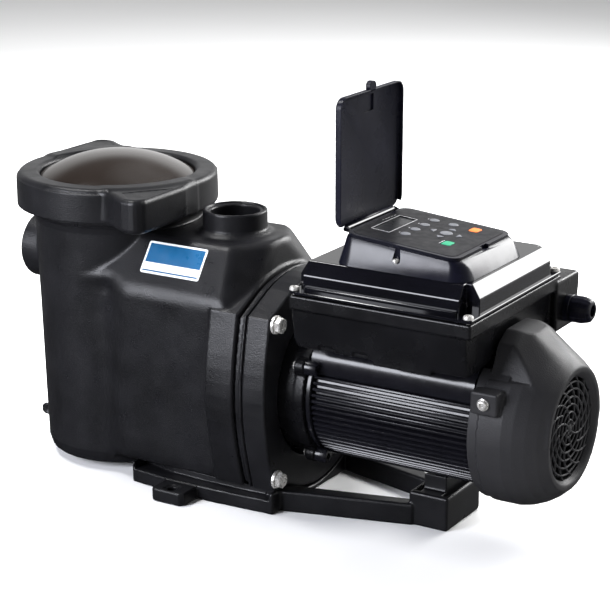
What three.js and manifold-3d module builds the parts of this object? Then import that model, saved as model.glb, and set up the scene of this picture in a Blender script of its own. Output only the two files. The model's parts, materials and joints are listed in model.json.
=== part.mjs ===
// A variable-speed swimming pool pump: a moulded wet end with a strainer pot, a finned motor with a fan
// cover, an electronic drive with a keypad under a hinged cover, and a moulded base frame.
// Millimetres. +X runs along the shaft from the strainer pot to the fan, +Y is the side of the cable gland,
// and +Z is up. The origin is on the floor, under the shaft, at the back face of the wet end's flange.
import * as THREE from "three";
import { mergeVertices } from "three/addons/utils/BufferGeometryUtils.js";
import { ConvexGeometry } from "three/addons/geometries/ConvexGeometry.js";
import Module from "manifold-3d";

// ---- driving dimensions ----
const GAP = 0.3; // clearance between pieces that touch
const SHAFT_Z = 110; // height of the shaft above the floor

const POT_X = -196; // axis of the strainer pot
const POT_FLOOR_Z = 5; // underside of the pot
const POT_NECK_R = 87; // outside of the neck that the lock ring fits over
const POT_NECK_TOP = 270;
const POT_LEDGE_Z = 258; // ledge that the basket's rim hangs on
const RING_R = 97.6;
const RING_BOTTOM = 255.5;
const RING_TOP = 289;
const RING_HOLE_R = 75.9;
const LID_APEX = 306;
const LID_FLANGE_R = 86.6;
const LID_FLANGE_BOTTOM = 273.4;
const LID_FLANGE_TOP = 278.4;
const LID_SHOULDER_Z = 284;
const LID_DOME_R = 75;
const LID_WALL = 4;

const SUCTION_Z = 199;
const SUCTION_END_X = -296;
const SUCTION_R = 33;
const PORT_BORE_R = 23.2; // bore of both pipe sockets
const DISCHARGE_X = -59;
const DISCHARGE_TOP = 265.7;
const DISCHARGE_R = 31;
const DRAIN_Z = 20;

const BLOCK_HALF_WIDTH = 84.5;
const BLOCK_BOTTOM = 21.3;
const PLATEAU_Z = 243;
const FLANGE_FRONT = -33;
const FLANGE_BACK = -2;
const PLATE_FRONT = 4; // front of the seal plate's flange
const PLATE_BACK = 33;
const BOLT_Y = 77;
const BOLT_RISE = 75; // bolts above and below the shaft

const VOLUTE_R = 72.5;
const IMPELLER_R = 62;
const MOTOR_R = 64.3; // tips of the fins
const MOTOR_FRONT = 58.3;
const MOTOR_BACK = 226;
const FIN_STEP_DEG = 8;
const SADDLE_RISE = 61.5; // flat top of the motor frame above the shaft
const LUG_R = 70.5;
const LUG_ANGLES = [29, 151, -127, -53]; // degrees above the +Y side, seen from the fan
const FAN_COVER_FRONT = 226.6;
const FAN_COVER_STEP = 248;
const FAN_COVER_R = 75;
const GRILLE_R = 44;

const DRIVE_LEFT = 57.6;
const DRIVE_RIGHT = 238.2;
const DRIVE_HALF_WIDTH = 93;
const LIP_BOTTOM = 207.4;
const LIP_TOP = 222.2;
const CASE_BOTTOM = 166;
const CAP_LEFT = 62;
const CAP_RIGHT = 236;
const CAP_HALF_WIDTH = 85;
const CAP_SHOULDER_Z = 238.5;
const CAP_TOP = 251;
const CAP_BEVEL = 7.5;
const CAP_NOTCH_LEFT = 6; // corner notches for the lid screws
const CAP_NOTCH_RIGHT = 13;
const GLAND_Y = 104;
const GLAND_Z = 187;

const PANEL_X = 101; // high edge of the keypad's face, beside the hinge
const PANEL_Y = -14.7;
const PANEL_Z = 279.1;
const PANEL_TILT = THREE.MathUtils.degToRad(4.9);
const PANEL_LENGTH = 110.6;
const PANEL_WIDTH = 109;
const PANEL_BAND = 3.2; // upright band round the top that the cover closes over
const HINGE_U = -4.5; // hinge axis in the panel's own frame
const HINGE_W = -0.5;
const COVER_INSIDE_W = 2; // inside face of the closed cover above the keypad
const LIFT_TAB_REACH = 7.6; // finger tab, out from the cover's free edge
const LIFT_TAB_HALF = 4.6;

const BASE_PLATE_TOP = 21;
const TAB_REACH = 110; // foot tabs, out from the centre plane
const TAB_HEIGHT = 13;
const REAR_BLOCK_TOP = 33;
const REAR_BLOCK_RIGHT = 190;

const wasm = await Module();
wasm.setup();

// ---- shape helpers ----
const rad = THREE.MathUtils.degToRad;

// A geometry reduced to shared vertices, without collapsed triangles, with its faces pointing out.
function closed(geometry) {
  const bare = new THREE.BufferGeometry().setAttribute("position", geometry.getAttribute("position"));
  if (geometry.index) bare.setIndex(geometry.index);
  const merged = mergeVertices(bare, 1e-3);
  const index = merged.index.array;
  const p = merged.getAttribute("position");
  const kept = [];
  const [a, b, c] = [new THREE.Vector3(), new THREE.Vector3(), new THREE.Vector3()];
  let volume = 0;
  for (let i = 0; i < index.length; i += 3) {
    const [i0, i1, i2] = [index[i], index[i + 1], index[i + 2]];
    if (i0 === i1 || i1 === i2 || i2 === i0) continue;
    kept.push(i0, i1, i2);
    b.fromBufferAttribute(p, i1).cross(c.fromBufferAttribute(p, i2));
    volume += a.fromBufferAttribute(p, i0).dot(b);
  }
  if (volume < 0) kept.reverse();
  merged.setIndex(kept);
  return merged;
}

function solidOf(geometry) {
  const g = closed(geometry);
  return new wasm.Manifold(
    new wasm.Mesh({
      numProp: 3,
      vertProperties: new Float32Array(g.getAttribute("position").array),
      triVerts: new Uint32Array(g.index.array),
    }),
  );
}

function geometryOf(solid) {
  const mesh = solid.getMesh();
  const g = new THREE.BufferGeometry();
  g.setAttribute("position", new THREE.BufferAttribute(mesh.vertProperties, 3));
  g.setIndex(new THREE.BufferAttribute(mesh.triVerts, 1));
  return g;
}

function join(...pieces) {
  return geometryOf(pieces.map(solidOf).reduce((whole, piece) => whole.add(piece)));
}

function cut(body, ...tools) {
  return geometryOf(tools.map(solidOf).reduce((whole, tool) => whole.subtract(tool), solidOf(body)));
}

function common(body, tool) {
  return geometryOf(solidOf(body).intersect(solidOf(tool)));
}

function moved(geometry, x, y, z) {
  return geometry.clone().translate(x, y, z);
}

function box(x0, x1, y0, y1, z0, z1) {
  const geometry = new THREE.BoxGeometry(x1 - x0, y1 - y0, z1 - z0);
  return moved(geometry, (x0 + x1) / 2, (y0 + y1) / 2, (z0 + z1) / 2);
}

// A body of revolution about Z from [radius, height] points. A ring's profile is closed by its first point.
function turnedZ(profile, segments = 28) {
  const points = profile.map(([r, z]) => new THREE.Vector2(r, z));
  const ring = profile[0][0] > 0 || profile[profile.length - 1][0] > 0;
  if (ring) points.push(points[0].clone());
  return new THREE.LatheGeometry(points, segments).rotateX(Math.PI / 2);
}

// A body of revolution about X from [radius, x] points.
function turnedX(profile, segments = 28) {
  return turnedZ(profile, segments).rotateY(Math.PI / 2);
}

function rodX(radius, x0, x1, y = 0, z = 0, segments = 16) {
  return moved(turnedX([[0, x0], [radius, x0], [radius, x1], [0, x1]], segments), 0, y, z);
}

function rodZ(radius, z0, z1, x = 0, y = 0, segments = 16) {
  return moved(turnedZ([[0, z0], [radius, z0], [radius, z1], [0, z1]], segments), x, y, 0);
}

function outline(points) {
  return new THREE.Shape(points.map(([u, v]) => new THREE.Vector2(u, v)));
}

function roundedRectangle(u0, u1, v0, v1, r) {
  const shape = new THREE.Shape();
  shape.moveTo(u0 + r, v0).lineTo(u1 - r, v0).absarc(u1 - r, v0 + r, r, -Math.PI / 2, 0, false);
  shape.lineTo(u1, v1 - r).absarc(u1 - r, v1 - r, r, 0, Math.PI / 2, false);
  shape.lineTo(u0 + r, v1).absarc(u0 + r, v1 - r, r, Math.PI / 2, Math.PI, false);
  shape.lineTo(u0, v0 + r).absarc(u0 + r, v0 + r, r, Math.PI, 1.5 * Math.PI, false);
  return shape;
}

function extruded(shape, depth, curveSegments) {
  return new THREE.ExtrudeGeometry(shape, { depth, bevelEnabled: false, curveSegments });
}

// Extrusions of a shape drawn in (x, y), in (y, z) and in (x, z).
function slabZ(shape, z0, z1, curveSegments = 6) {
  return moved(extruded(shape, z1 - z0, curveSegments), 0, 0, z0);
}

function slabX(shape, x0, x1, curveSegments = 6) {
  const swap = new THREE.Matrix4().set(0, 0, 1, x0, 1, 0, 0, 0, 0, 1, 0, 0, 0, 0, 0, 1);
  return extruded(shape, x1 - x0, curveSegments).applyMatrix4(swap);
}

function slabY(shape, y0, y1, curveSegments = 6) {
  const swap = new THREE.Matrix4().set(1, 0, 0, 0, 0, 0, -1, y1, 0, 1, 0, 0, 0, 0, 0, 1);
  return extruded(shape, y1 - y0, curveSegments).applyMatrix4(swap);
}

function hull(points) {
  return new ConvexGeometry(points.map(([x, y, z]) => new THREE.Vector3(x, y, z)));
}

function circlePoints(radius, count, place) {
  return Array.from({ length: count }, (_, i) => {
    const a = (2 * Math.PI * i) / count;
    return place(radius * Math.cos(a), radius * Math.sin(a));
  });
}

// The points of a horizontal rounded rectangle, each lifted to the height that heightAt gives.
function deckPoints(x0, x1, y0, y1, r, heightAt) {
  return roundedRectangle(x0, x1, y0, y1, r)
    .getPoints(2)
    .map((p) => [p.x, p.y, heightAt(p.x)]);
}

function mirroredY(points) {
  return points.flatMap(([x, y, z]) => [[x, y, z], [x, -y, z]]);
}

// A bolt or screw lying along X with its head towards +X: shank, washer and head.
function boltX(shankR, shankStart, seat, washerR, washerThick, headR, headHigh, headSides) {
  const parts = [rodX(shankR, shankStart, seat + washerThick, 0, 0, 8)];
  if (washerThick > 0) parts.push(rodX(washerR, seat, seat + washerThick, 0, 0, 14));
  parts.push(rodX(headR, seat + washerThick - 0.1, seat + washerThick + headHigh, 0, 0, headSides));
  return join(...parts);
}

// ---- materials ----
function material(color, roughness, metalness = 0) {
  return new THREE.MeshStandardMaterial({ color, roughness, metalness, flatShading: true });
}

const mouldedBlack = material(0x1b1c1f, 0.45);
const glossBlack = material(0x101116, 0.12);
const coverGrey = material(0x2b2c30, 0.55);
const castBlack = material(0x141517, 0.4, 0.3);
const steel = material(0xb9bbbd, 0.25, 1);
const innerPlastic = material(0xc9c8c2, 0.5);
const rubber = material(0x0c0c0d, 0.8);
const smokedClear = new THREE.MeshStandardMaterial({
  color: 0x6a635c, roughness: 0.06, transparent: true, opacity: 0.45, flatShading: true,
});
const boardGreen = material(0x1f5a36, 0.6);
const copper = material(0x9a5a2c, 0.5, 0.6);
const keyGrey = material(0x8d9096, 0.6);
const keyGreen = material(0x1d8a5c, 0.6);
const keyOrange = material(0xe0822a, 0.6);
const faceplateBlack = material(0x17181b, 0.6);
const displayGlass = material(0x0d0f12, 0.2);

const pump = new THREE.Group();

function piece(parent, name, geometry, finish) {
  const flat = closed(geometry).toNonIndexed();
  flat.computeVertexNormals();
  const mesh = new THREE.Mesh(flat, finish);
  mesh.name = name;
  parent.add(mesh);
  return mesh;
}

function group(parent, x, y, z) {
  const g = new THREE.Group();
  g.position.set(x, y, z);
  parent.add(g);
  return g;
}

// ---- wet end: strainer pot, volute block, flange and pipe sockets in one moulding ----
const POT_OUTSIDE = [
  [0, POT_FLOOR_Z], [66, POT_FLOOR_Z], [75.5, 15], [79, 140], [81.8, 242], [POT_NECK_R, 250],
  [POT_NECK_R, POT_NECK_TOP], [0, POT_NECK_TOP],
];
const POT_INSIDE = [
  [0, 11], [63, 11], [70, 20], [74, POT_LEDGE_Z], [78.2, POT_LEDGE_Z],
  [78.2, POT_NECK_TOP + 5], [0, POT_NECK_TOP + 5],
];

// The volute block: an upright box behind the pot, under a hipped roof that rises to a plateau round the
// discharge socket. The roof runs further over the pot than the box does.
function voluteBlock() {
  const w = BLOCK_HALF_WIDTH;
  const chest = hull(mirroredY([
    [-152, 68, BLOCK_BOTTOM], [-138, w - 5, BLOCK_BOTTOM], [FLANGE_FRONT, w - 5, BLOCK_BOTTOM],
    [-152, 70, 200], [-138, w, SHAFT_Z], [FLANGE_FRONT, w, SHAFT_Z], [-138, w - 0.5, 201],
    [-20, w - 0.5, 196],
  ]));
  const roof = hull([
    ...mirroredY([
      [-186, 78.5, 202], [-20, w - 0.5, 196], [-186, 50, PLATEAU_Z], [-30, 50, PLATEAU_Z],
      [-7, 12, PLATEAU_Z],
      [FLANGE_BACK - 1, 44, 210], [-186, 70, 190],
    ]),
    [FLANGE_BACK - 1, 0, 217], [FLANGE_BACK - 1, 0, 190],
  ]);
  return join(chest, roof);
}

// The outline of the flange and of the seal plate, in (y, z), shrunk inwards by inset.
function flangeOutline(inset) {
  const side = [[78.5, BLOCK_BOTTOM], [88, 55], [94.5, 90], [96, 115], [92.5, 150], [85, 191]];
  const right = side.map(([y, z]) => [y - inset, z + (z < 30 ? inset : 0) - (z > 180 ? inset : 0)]);
  const top = [60, 30, 0, -30, -60].map((y) => [y, 93 + Math.sqrt((125 - inset) ** 2 - y * y)]);
  const left = right.map(([y, z]) => [-y, z]).reverse();
  const bottom = [-46, -24, 0, 24, 46].map((y) => [y, SHAFT_Z - Math.sqrt((103 - inset) ** 2 - y * y)]);
  const toe = BLOCK_BOTTOM + inset;
  return outline([...right, ...top, ...left, [-54, toe], ...bottom, [54, toe]]);
}

function boltPlaces() {
  return [-1, 1].flatMap((side) => [1, -1].map((rise) => [side * BOLT_Y, SHAFT_Z + rise * BOLT_RISE]));
}

function wetEndHousing() {
  const pot = moved(turnedZ(POT_OUTSIDE, 28), POT_X, 0, 0);
  const suction = rodX(SUCTION_R, SUCTION_END_X, POT_X - 70, 0, SUCTION_Z, 20);
  const drainBoss = rodX(13, POT_X - 86, POT_X - 68, 0, DRAIN_Z, 16);
  const discharge = rodZ(DISCHARGE_R, PLATEAU_Z - 20, DISCHARGE_TOP, DISCHARGE_X, 0, 20);
  const collar = rodZ(DISCHARGE_R + 4, PLATEAU_Z - 20, PLATEAU_Z + 3, DISCHARGE_X, 0, 20);
  const flange = slabX(flangeOutline(0), FLANGE_FRONT, FLANGE_BACK);
  const body = join(pot, suction, drainBoss, voluteBlock(), flange, discharge, collar);
  return cut(
    body,
    moved(turnedZ(POT_INSIDE, 24), POT_X, 0, 0),
    rodX(VOLUTE_R, -78, FLANGE_BACK + 1, 0, SHAFT_Z, 24),
    rodX(25.2, -150, -77, 0, SHAFT_Z, 16),
    rodX(PORT_BORE_R + 0.6, SUCTION_END_X - 1, POT_X - 60, 0, SUCTION_Z, 16),
    rodX(6.5, POT_X - 90, POT_X - 60, 0, DRAIN_Z, 12),
    rodZ(PORT_BORE_R, SHAFT_Z + 40, DISCHARGE_TOP + 1, DISCHARGE_X, 0, 20),
    ...boltPlaces().map(([y, z]) => rodX(4.9, -30, FLANGE_BACK + 1, y, z, 6)),
  );
}

piece(pump, "wet_end_housing", wetEndHousing(), mouldedBlack);

// ---- strainer: basket, clear lid, seal and lock ring ----
const pot = group(pump, POT_X, 0, 0);

function strainerBasket() {
  const wall = turnedZ([
    [0, 22], [60, 22], [69.5, 250], [69.5, POT_LEDGE_Z + GAP], [77.4, POT_LEDGE_Z + GAP],
    [77.4, POT_LEDGE_Z + 3], [67, POT_LEDGE_Z + 3], [67, 250], [57.6, 25], [0, 25],
  ], 16);
  const slots = [];
  for (let i = 0; i < 8; i += 1) {
    for (const [z0, z1] of [[40, 130], [142, 232]]) {
      slots.push(box(50, 80, -9, 9, z0, z1).rotateZ(((i + 0.5) * Math.PI) / 4));
    }
  }
  const arch = new THREE.EllipseCurve(0, 0, 72, 26, 0, Math.PI).getPoints(8);
  const bail = arch.map((p) => new THREE.Vector3(0, p.x, POT_LEDGE_Z + 1.5 + p.y));
  const path = new THREE.CatmullRomCurve3(bail);
  const grip = new THREE.ExtrudeGeometry(outline([[-2, -5], [2, -5], [2, 5], [-2, 5]]), {
    steps: 8, extrudePath: path, bevelEnabled: false, curveSegments: 1,
  });
  return join(cut(wall, ...slots), grip);
}

function clearLid() {
  const rise = LID_APEX - LID_SHOULDER_Z;
  const sphereR = (LID_DOME_R ** 2 + rise ** 2) / (2 * rise);
  const centre = LID_APEX - sphereR;
  const heightAt = (r, R) => centre + Math.sqrt(R * R - r * r);
  const steps = [1, 0.7, 0.35, 0];
  const insideR = LID_DOME_R - LID_WALL;
  return turnedZ([
    ...steps.map((s) => [s * LID_DOME_R, heightAt(s * LID_DOME_R, sphereR)]).reverse(),
    [LID_DOME_R, LID_FLANGE_TOP], [LID_FLANGE_R, LID_FLANGE_TOP], [LID_FLANGE_R, LID_FLANGE_BOTTOM],
    [insideR, LID_FLANGE_BOTTOM],
    ...steps.map((s) => [s * insideR, heightAt(s * insideR, sphereR - LID_WALL)]),
  ], 28);
}

function ringSection(centreR, radius, z, sides = 4, segments = 24) {
  return turnedZ(circlePoints(radius, sides, (u, v) => [centreR + u, z + v]), segments);
}

function earShape() {
  const shape = new THREE.Shape();
  shape.moveTo(60, 0).lineTo(96.5, -8).lineTo(101, -30).lineTo(101, -93);
  shape.absarc(89, -93, 12, 0, -Math.PI / 2, true);
  shape.lineTo(80, -104).lineTo(64, -93).lineTo(46, -86).lineTo(20, -60);
  return shape;
}

function lockRing() {
  const blank = turnedZ([[0, RING_BOTTOM], [98.4, RING_BOTTOM], [RING_R, RING_TOP], [0, RING_TOP]], 32);
  const ears = [0, Math.PI].map((turn) => slabZ(earShape(), RING_BOTTOM, RING_TOP, 3).rotateZ(turn));
  const inside = turnedZ([
    [0, RING_BOTTOM - 1], [88.8, RING_BOTTOM - 1], [88.8, LID_FLANGE_TOP + 0.6],
    [RING_HOLE_R, LID_FLANGE_TOP + 0.6],
    [RING_HOLE_R, RING_TOP - 3], [RING_HOLE_R + 3, RING_TOP + 1], [0, RING_TOP + 1],
  ], 28);
  return cut(join(blank, ...ears), inside);
}

piece(pot, "strainer_basket", strainerBasket(), innerPlastic);
piece(pot, "clear_lid", clearLid(), smokedClear);
piece(pot, "lid_o_ring", ringSection(82, 1.25, (POT_NECK_TOP + LID_FLANGE_BOTTOM) / 2), rubber);
piece(pot, "lock_ring", lockRing(), mouldedBlack);

// The drain plug, on the side away from the motor, with a wing to turn it by.
function drainPlug() {
  const shank = rodX(6, -84, -66, 0, 0, 12);
  const head = rodX(10, -90.5, -86 - GAP, 0, 0, 16);
  const neck = rodX(6, -91, -83, 0, 0, 12);
  const wing = slabY(roundedRectangle(-106, -88, -6, 6, 4), -2, 2, 2);
  return join(shank, head, neck, wing);
}

piece(pot, "drain_plug", drainPlug(), mouldedBlack).position.z = DRAIN_Z;

// ---- hydraulics: diffuser, impeller, shaft seal, seal plate and its bolts ----
const shaftLine = group(pump, 0, 0, SHAFT_Z);

function diffuser() {
  const shell = turnedX([
    [21, -92], [24.7, -92], [24.7, -74], [68, -62], [68, -14], [64.5, -14], [64.5, -58], [21, -70],
  ], 16);
  const windows = [0, 1, 2, 3].map((i) => box(-52, -24, -14, 14, 50, 80).rotateX(rad(45 + 90 * i)));
  return cut(shell, ...windows);
}

function impeller() {
  const shroud = [[18, -68], [20.3, -68], [20.3, -57], [IMPELLER_R, -49], [IMPELLER_R, -46.5], [18, -54]];
  const front = turnedX(shroud, 16);
  const back = rodX(IMPELLER_R, -24, -21, 0, 0, 16);
  const hub = rodX(13, -46, -12.5, 0, 0, 12);
  const vanes = Array.from({ length: 6 }, (_, i) => {
    const shape = new THREE.Shape();
    shape.moveTo(10, -1.5).quadraticCurveTo(38, 2, 57, 22);
    shape.lineTo(54.5, 24.5).quadraticCurveTo(36, 6, 10, 2);
    return slabX(shape, -48, -22, 2).rotateX((i * Math.PI) / 3);
  });
  return cut(join(front, back, hub, ...vanes), rodX(7.4, -41, -10, 0, 0, 12));
}

function sealPlate() {
  const flange = slabX(flangeOutline(0), PLATE_FRONT, PLATE_BACK);
  const band = slabX(flangeOutline(3.5), FLANGE_BACK + GAP, PLATE_FRONT + 0.1);
  const spigot = moved(rodX(VOLUTE_R - 1.2, -12, PLATE_FRONT, 0, 0, 24), 0, 0, SHAFT_Z);
  const recesses = [
    rodX(62, -13, -4, 0, SHAFT_Z, 16),
    rodX(80, 10, PLATE_BACK + 1, 0, SHAFT_Z, 24),
    rodX(16.8, -5, 5.4, 0, SHAFT_Z, 16),
    rodX(9.8, -5, 12, 0, SHAFT_Z, 12),
    moved(turnedX([[67.6, -9.4], [VOLUTE_R + 2, -9.4], [VOLUTE_R + 2, -5], [67.6, -5]], 24), 0, 0, SHAFT_Z),
  ];
  const holes = boltPlaces().map(([y, z]) => rodX(4.9, -3, PLATE_BACK + 1, y, z, 6));
  return moved(cut(join(flange, band, spigot), ...recesses, ...holes), 0, 0, -SHAFT_Z);
}

piece(shaftLine, "diffuser", diffuser(), innerPlastic);
piece(shaftLine, "impeller", impeller(), innerPlastic);
piece(shaftLine, "seal_plate", sealPlate(), mouldedBlack);
const sealPlateRing = turnedX([[68.2, -9], [71.2, -9], [71.2, -5.4], [68.2, -5.4]], 24);
piece(shaftLine, "seal_plate_o_ring", sealPlateRing, rubber);
piece(shaftLine, "seal_seat", turnedX([[9.4, -1.5], [16, -1.5], [16, 5], [9.4, 5]], 16), innerPlastic);
const sealHead = turnedX([[7.3, -12], [13, -12], [15.5, -9], [15.5, -2], [7.3, -2]], 16);
piece(shaftLine, "seal_head", sealHead, steel);

boltPlaces().forEach(([y, z], i) => {
  const bolt = boltX(4, -26, PLATE_BACK + GAP, 8.6, 3, 7.6, 6, 6);
  piece(pump, `flange_bolt_${i + 1}`, bolt, steel).position.set(0, y, z);
});

// ---- motor ----
function lugPlaces() {
  return LUG_ANGLES.map((a) => [LUG_R * Math.cos(rad(a)), LUG_R * Math.sin(rad(a))]);
}

function driveEndBell() {
  const shell = turnedX([
    [9.8, 34], [62, 34], [62, 14], [66, 14], [66, 49], [70, 50], [70, 58], [61, 58], [61, 40], [25, 40],
    [25, 52],
    [20.4, 52], [20.4, 38], [9.8, 38],
  ], 20);
  const lugs = lugPlaces().map(([y, z]) => rodX(7.5, 48, 58, y, z, 8));
  const holes = lugPlaces().map(([y, z]) => rodX(3.2, 40, 60, y, z, 6));
  const underDrive = box(55.8, 60, -95, 95, SADDLE_RISE + 1.5, 90);
  return cut(join(shell, ...lugs), underDrive, ...holes);
}

// The finned frame's section, in (y, z) about the shaft: fins round the sides and bottom, a saddle on top.
function frameSection() {
  const rootR = 60;
  const points = [];
  const at = (r, deg) => [r * Math.cos(rad(deg)), r * Math.sin(rad(deg))];
  for (let a = -206 + FIN_STEP_DEG / 2; a < 26; a += FIN_STEP_DEG) {
    points.push(at(rootR, a - 1.1), at(MOTOR_R, a - 0.9), at(MOTOR_R, a + 0.9), at(rootR, a + 1.1));
  }
  const saddle = [[58, 28.5], [58, 45], [45, SADDLE_RISE], [-45, SADDLE_RISE], [-58, 45], [-58, 28.5]];
  return outline([...points, ...saddle]);
}

function motorFrame() {
  const fins = slabX(frameSection(), 61, MOTOR_BACK);
  const collar = rodX(66, MOTOR_FRONT, 63, 0, 0, 24);
  const lugs = lugPlaces().map(([y, z]) => rodX(7, MOTOR_FRONT, 70, y, z, 8));
  const holes = lugPlaces().map(([y, z]) => rodX(3.2, MOTOR_FRONT - 1, 69, y, z, 6));
  const overSaddle = box(MOTOR_FRONT - 1, MOTOR_BACK, -80, 80, SADDLE_RISE, 90);
  const bore = rodX(56.8, MOTOR_FRONT - 1, MOTOR_BACK + 1, 0, 0, 20);
  return cut(join(fins, collar, ...lugs), overSaddle, bore, ...holes);
}

function rearEndBell() {
  return turnedX([
    [17.8, 227], [17.8, 239.4], [10, 239.4], [10, 242], [61, 242], [61, MOTOR_BACK + GAP],
    [57, MOTOR_BACK + GAP],
    [57, 237], [23, 237], [23, 227],
  ], 16);
}

function motorShaft() {
  return turnedX([
    [0, -40], [6.9, -40], [6.9, 34], [8.5, 36], [8.5, 55], [12, 56], [12, 224], [8.5, 226], [8.5, 244],
    [6.5, 246], [6.5, 268], [0, 268],
  ], 10);
}

function coolingFan() {
  const hub = turnedX([[7, 250], [13, 250], [13, 266], [7, 266]], 12);
  const disc = turnedX([[12, 262], [58, 262], [58, 264.5], [12, 264.5]], 20);
  const blade = (_, i) => box(250, 263, -1.2, 1.2, 12, 57).rotateX((i * Math.PI) / 4);
  const blades = Array.from({ length: 8 }, blade);
  return join(hub, disc, ...blades);
}

// The fan cover's outside, or its inside when wall is given: a round barrel with a hump rising behind the
// drive, drawn in by flat slopes to the round grille.
function fanCoverHull(wall) {
  const round = (r, x, count) => circlePoints(r - wall, count, (y, z) => [x, y, z]);
  const hump = mirroredY([
    [236, 37, 80.5], [253, 37, 79.5], [236, 20, 89.5], [250, 20, 89], [262, 15, 86],
  ]);
  return hull([
    ...round(FAN_COVER_R, FAN_COVER_STEP - 12, 20), ...round(FAN_COVER_R, 262, 20),
    ...round(71, 281, 20), ...round(58, 297 - 1.3 * wall, 20),
    ...hump.map(([x, y, z]) => [x - wall * 0.4, y * (1 - wall / 60), z - wall]),
  ]);
}

function grille() {
  const rings = [18, 32].map((r) => turnedX([[r, 289], [r + 2, 289], [r + 2, 292], [r, 292]], 12));
  const spokes = Array.from({ length: 6 }, (_, i) => {
    const shape = new THREE.Shape();
    shape.moveTo(3, -1).quadraticCurveTo(24, -1, 44, 12).lineTo(43, 14).quadraticCurveTo(24, 1.5, 3, 1);
    return slabX(shape, 289, 291.5, 2).rotateX((i * Math.PI) / 3);
  });
  const rimSection = [[GRILLE_R - 2, 289], [GRILLE_R + 7, 289], [GRILLE_R + 7, 294], [GRILLE_R - 2, 292]];
  const rim = turnedX(rimSection, 20);
  return [...rings, ...spokes, rim, rodX(5, 289, 292, 0, 0, 12)];
}

function fanCover() {
  const wall = 3;
  const collar = rodX(73.5, FAN_COVER_FRONT, FAN_COVER_STEP + 2, 0, 0, 24);
  const lugs = [box(230, 257, -75.5, -60, 26, 47), box(230, 257, 60, 75.5, 26, 47)];
  const front = box(200, FAN_COVER_FRONT + 10, -120, 120, -120, 120);
  const outside = join(cut(fanCoverHull(0), front), collar, ...lugs);
  const mouth = rodX(FAN_COVER_R - wall - 1.5, FAN_COVER_FRONT - 1, FAN_COVER_STEP + 4, 0, 0, 24);
  const opening = turnedX([[0, 280], [GRILLE_R, 280], [GRILLE_R, 293], [GRILLE_R + 5, 299], [0, 299]], 20);
  const screwHoles = [-1, 1].map((side) => rodX(3, 0, 30, 0, 0, 6).rotateZ(side * Math.PI / 2));
  const shell = cut(
    outside, fanCoverHull(wall), mouth, opening,
    ...screwHoles.map((hole, i) => moved(hole, 243.5, i ? 55 : -55, 36.5)),
  );
  return join(shell, ...grille());
}

const motor = group(shaftLine, 0, 0, 0);
piece(motor, "drive_end_bell", driveEndBell(), castBlack);
piece(motor, "motor_frame", motorFrame(), castBlack);
piece(motor, "rear_end_bell", rearEndBell(), castBlack);
piece(motor, "front_bearing", turnedX([[8.9, 38.4], [20, 38.4], [20, 50], [8.9, 50]], 16), steel);
piece(motor, "rear_bearing", turnedX([[8.9, 228], [17.4, 228], [17.4, 239], [8.9, 239]], 16), steel);
piece(motor, "stator", turnedX([
  [37, 92], [40, 92], [40, 80], [54, 80], [54, 92], [56, 92], [56, 192], [54, 192], [54, 204], [40, 204],
  [40, 192], [37, 192],
], 16), copper);
piece(motor, "rotor_core", turnedX([[12.6, 94], [36, 94], [36, 190], [12.6, 190]], 16), steel);
piece(motor, "motor_shaft", motorShaft(), steel);
piece(motor, "cooling_fan", coolingFan(), innerPlastic);
piece(motor, "fan_cover", fanCover(), coverGrey);

lugPlaces().forEach(([y, z], i) => {
  const screw = boltX(2.4, 0, 20, 0, 0, 4.1, 3.5, 10).rotateZ(Math.PI);
  piece(motor, `end_bell_screw_${i + 1}`, screw, steel).position.set(48 - GAP + 20, y, z);
});

[-1, 1].forEach((side, i) => {
  const screw = boltX(2.4, -12, 0, 5.5, 1.2, 4.4, 3, 10).rotateZ((side * Math.PI) / 2);
  piece(motor, `fan_cover_screw_${i + 1}`, screw, steel).position.set(243.5, side * (75.5 + GAP), 36.5);
});

// ---- electronic drive: case, lid, board and cable gland ----
const SCREW_X = [61, 233.5];
const SCREW_Y = [-88, 88];

function screwPlaces() {
  return SCREW_X.flatMap((x) => SCREW_Y.map((y) => [x, y]));
}

function driveCase() {
  const taper = 6;
  const [left, right] = [DRIVE_LEFT, DRIVE_RIGHT - 6];
  const w = DRIVE_HALF_WIDTH - 3;
  const floor = CASE_BOTTOM + 11;
  const body = hull(mirroredY([
    [left, w, LIP_TOP - 2], [right, w, LIP_TOP - 2], [left, w, LIP_BOTTOM], [right, w, LIP_BOTTOM],
    [left - 1, w - taper, CASE_BOTTOM + 10], [left + 10, w - taper, CASE_BOTTOM],
    [right, w - taper, CASE_BOTTOM],
  ]));
  const lip = slabZ(
    roundedRectangle(DRIVE_LEFT, DRIVE_RIGHT, -DRIVE_HALF_WIDTH, DRIVE_HALF_WIDTH, 3),
    LIP_BOTTOM, LIP_TOP - 1.2, 2,
  );
  const wiringEnds = [150, DRIVE_RIGHT + 1.8];
  const wiring = hull(wiringEnds.flatMap((x) => [
    [x, 80, 217], [x, 130, 217], [x, 131, 205], [x, 124, 168], [x, 80, 168],
  ]));
  const inside = hull(mirroredY([
    [left + 3, w - 3, LIP_TOP], [right - 10, w - 3, LIP_TOP],
    [left + 5, w - taper - 3, floor], [right - 10, w - taper - 3, floor],
  ]));
  const wiringInside = box(153, DRIVE_RIGHT - 1.2, 83, 121, 171, 214);
  const saddle = box(left - 5, right + 20, -60.5, 60.5, CASE_BOTTOM - 5, SHAFT_Z + SADDLE_RISE + GAP);
  const fanCoverRoom = rodX(FAN_COVER_R + 1.6, 225.5, DRIVE_RIGHT + 5, 0, SHAFT_Z, 24);
  const gland = rodX(10.3, DRIVE_RIGHT - 5, DRIVE_RIGHT + 5, GLAND_Y, GLAND_Z, 20);
  const holes = screwPlaces().map(([x, y]) => rodZ(2.3, LIP_TOP - 14, LIP_TOP, x, y, 8));
  return cut(join(body, lip, wiring), inside, wiringInside, saddle, fanCoverRoom, gland, ...holes);
}

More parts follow.
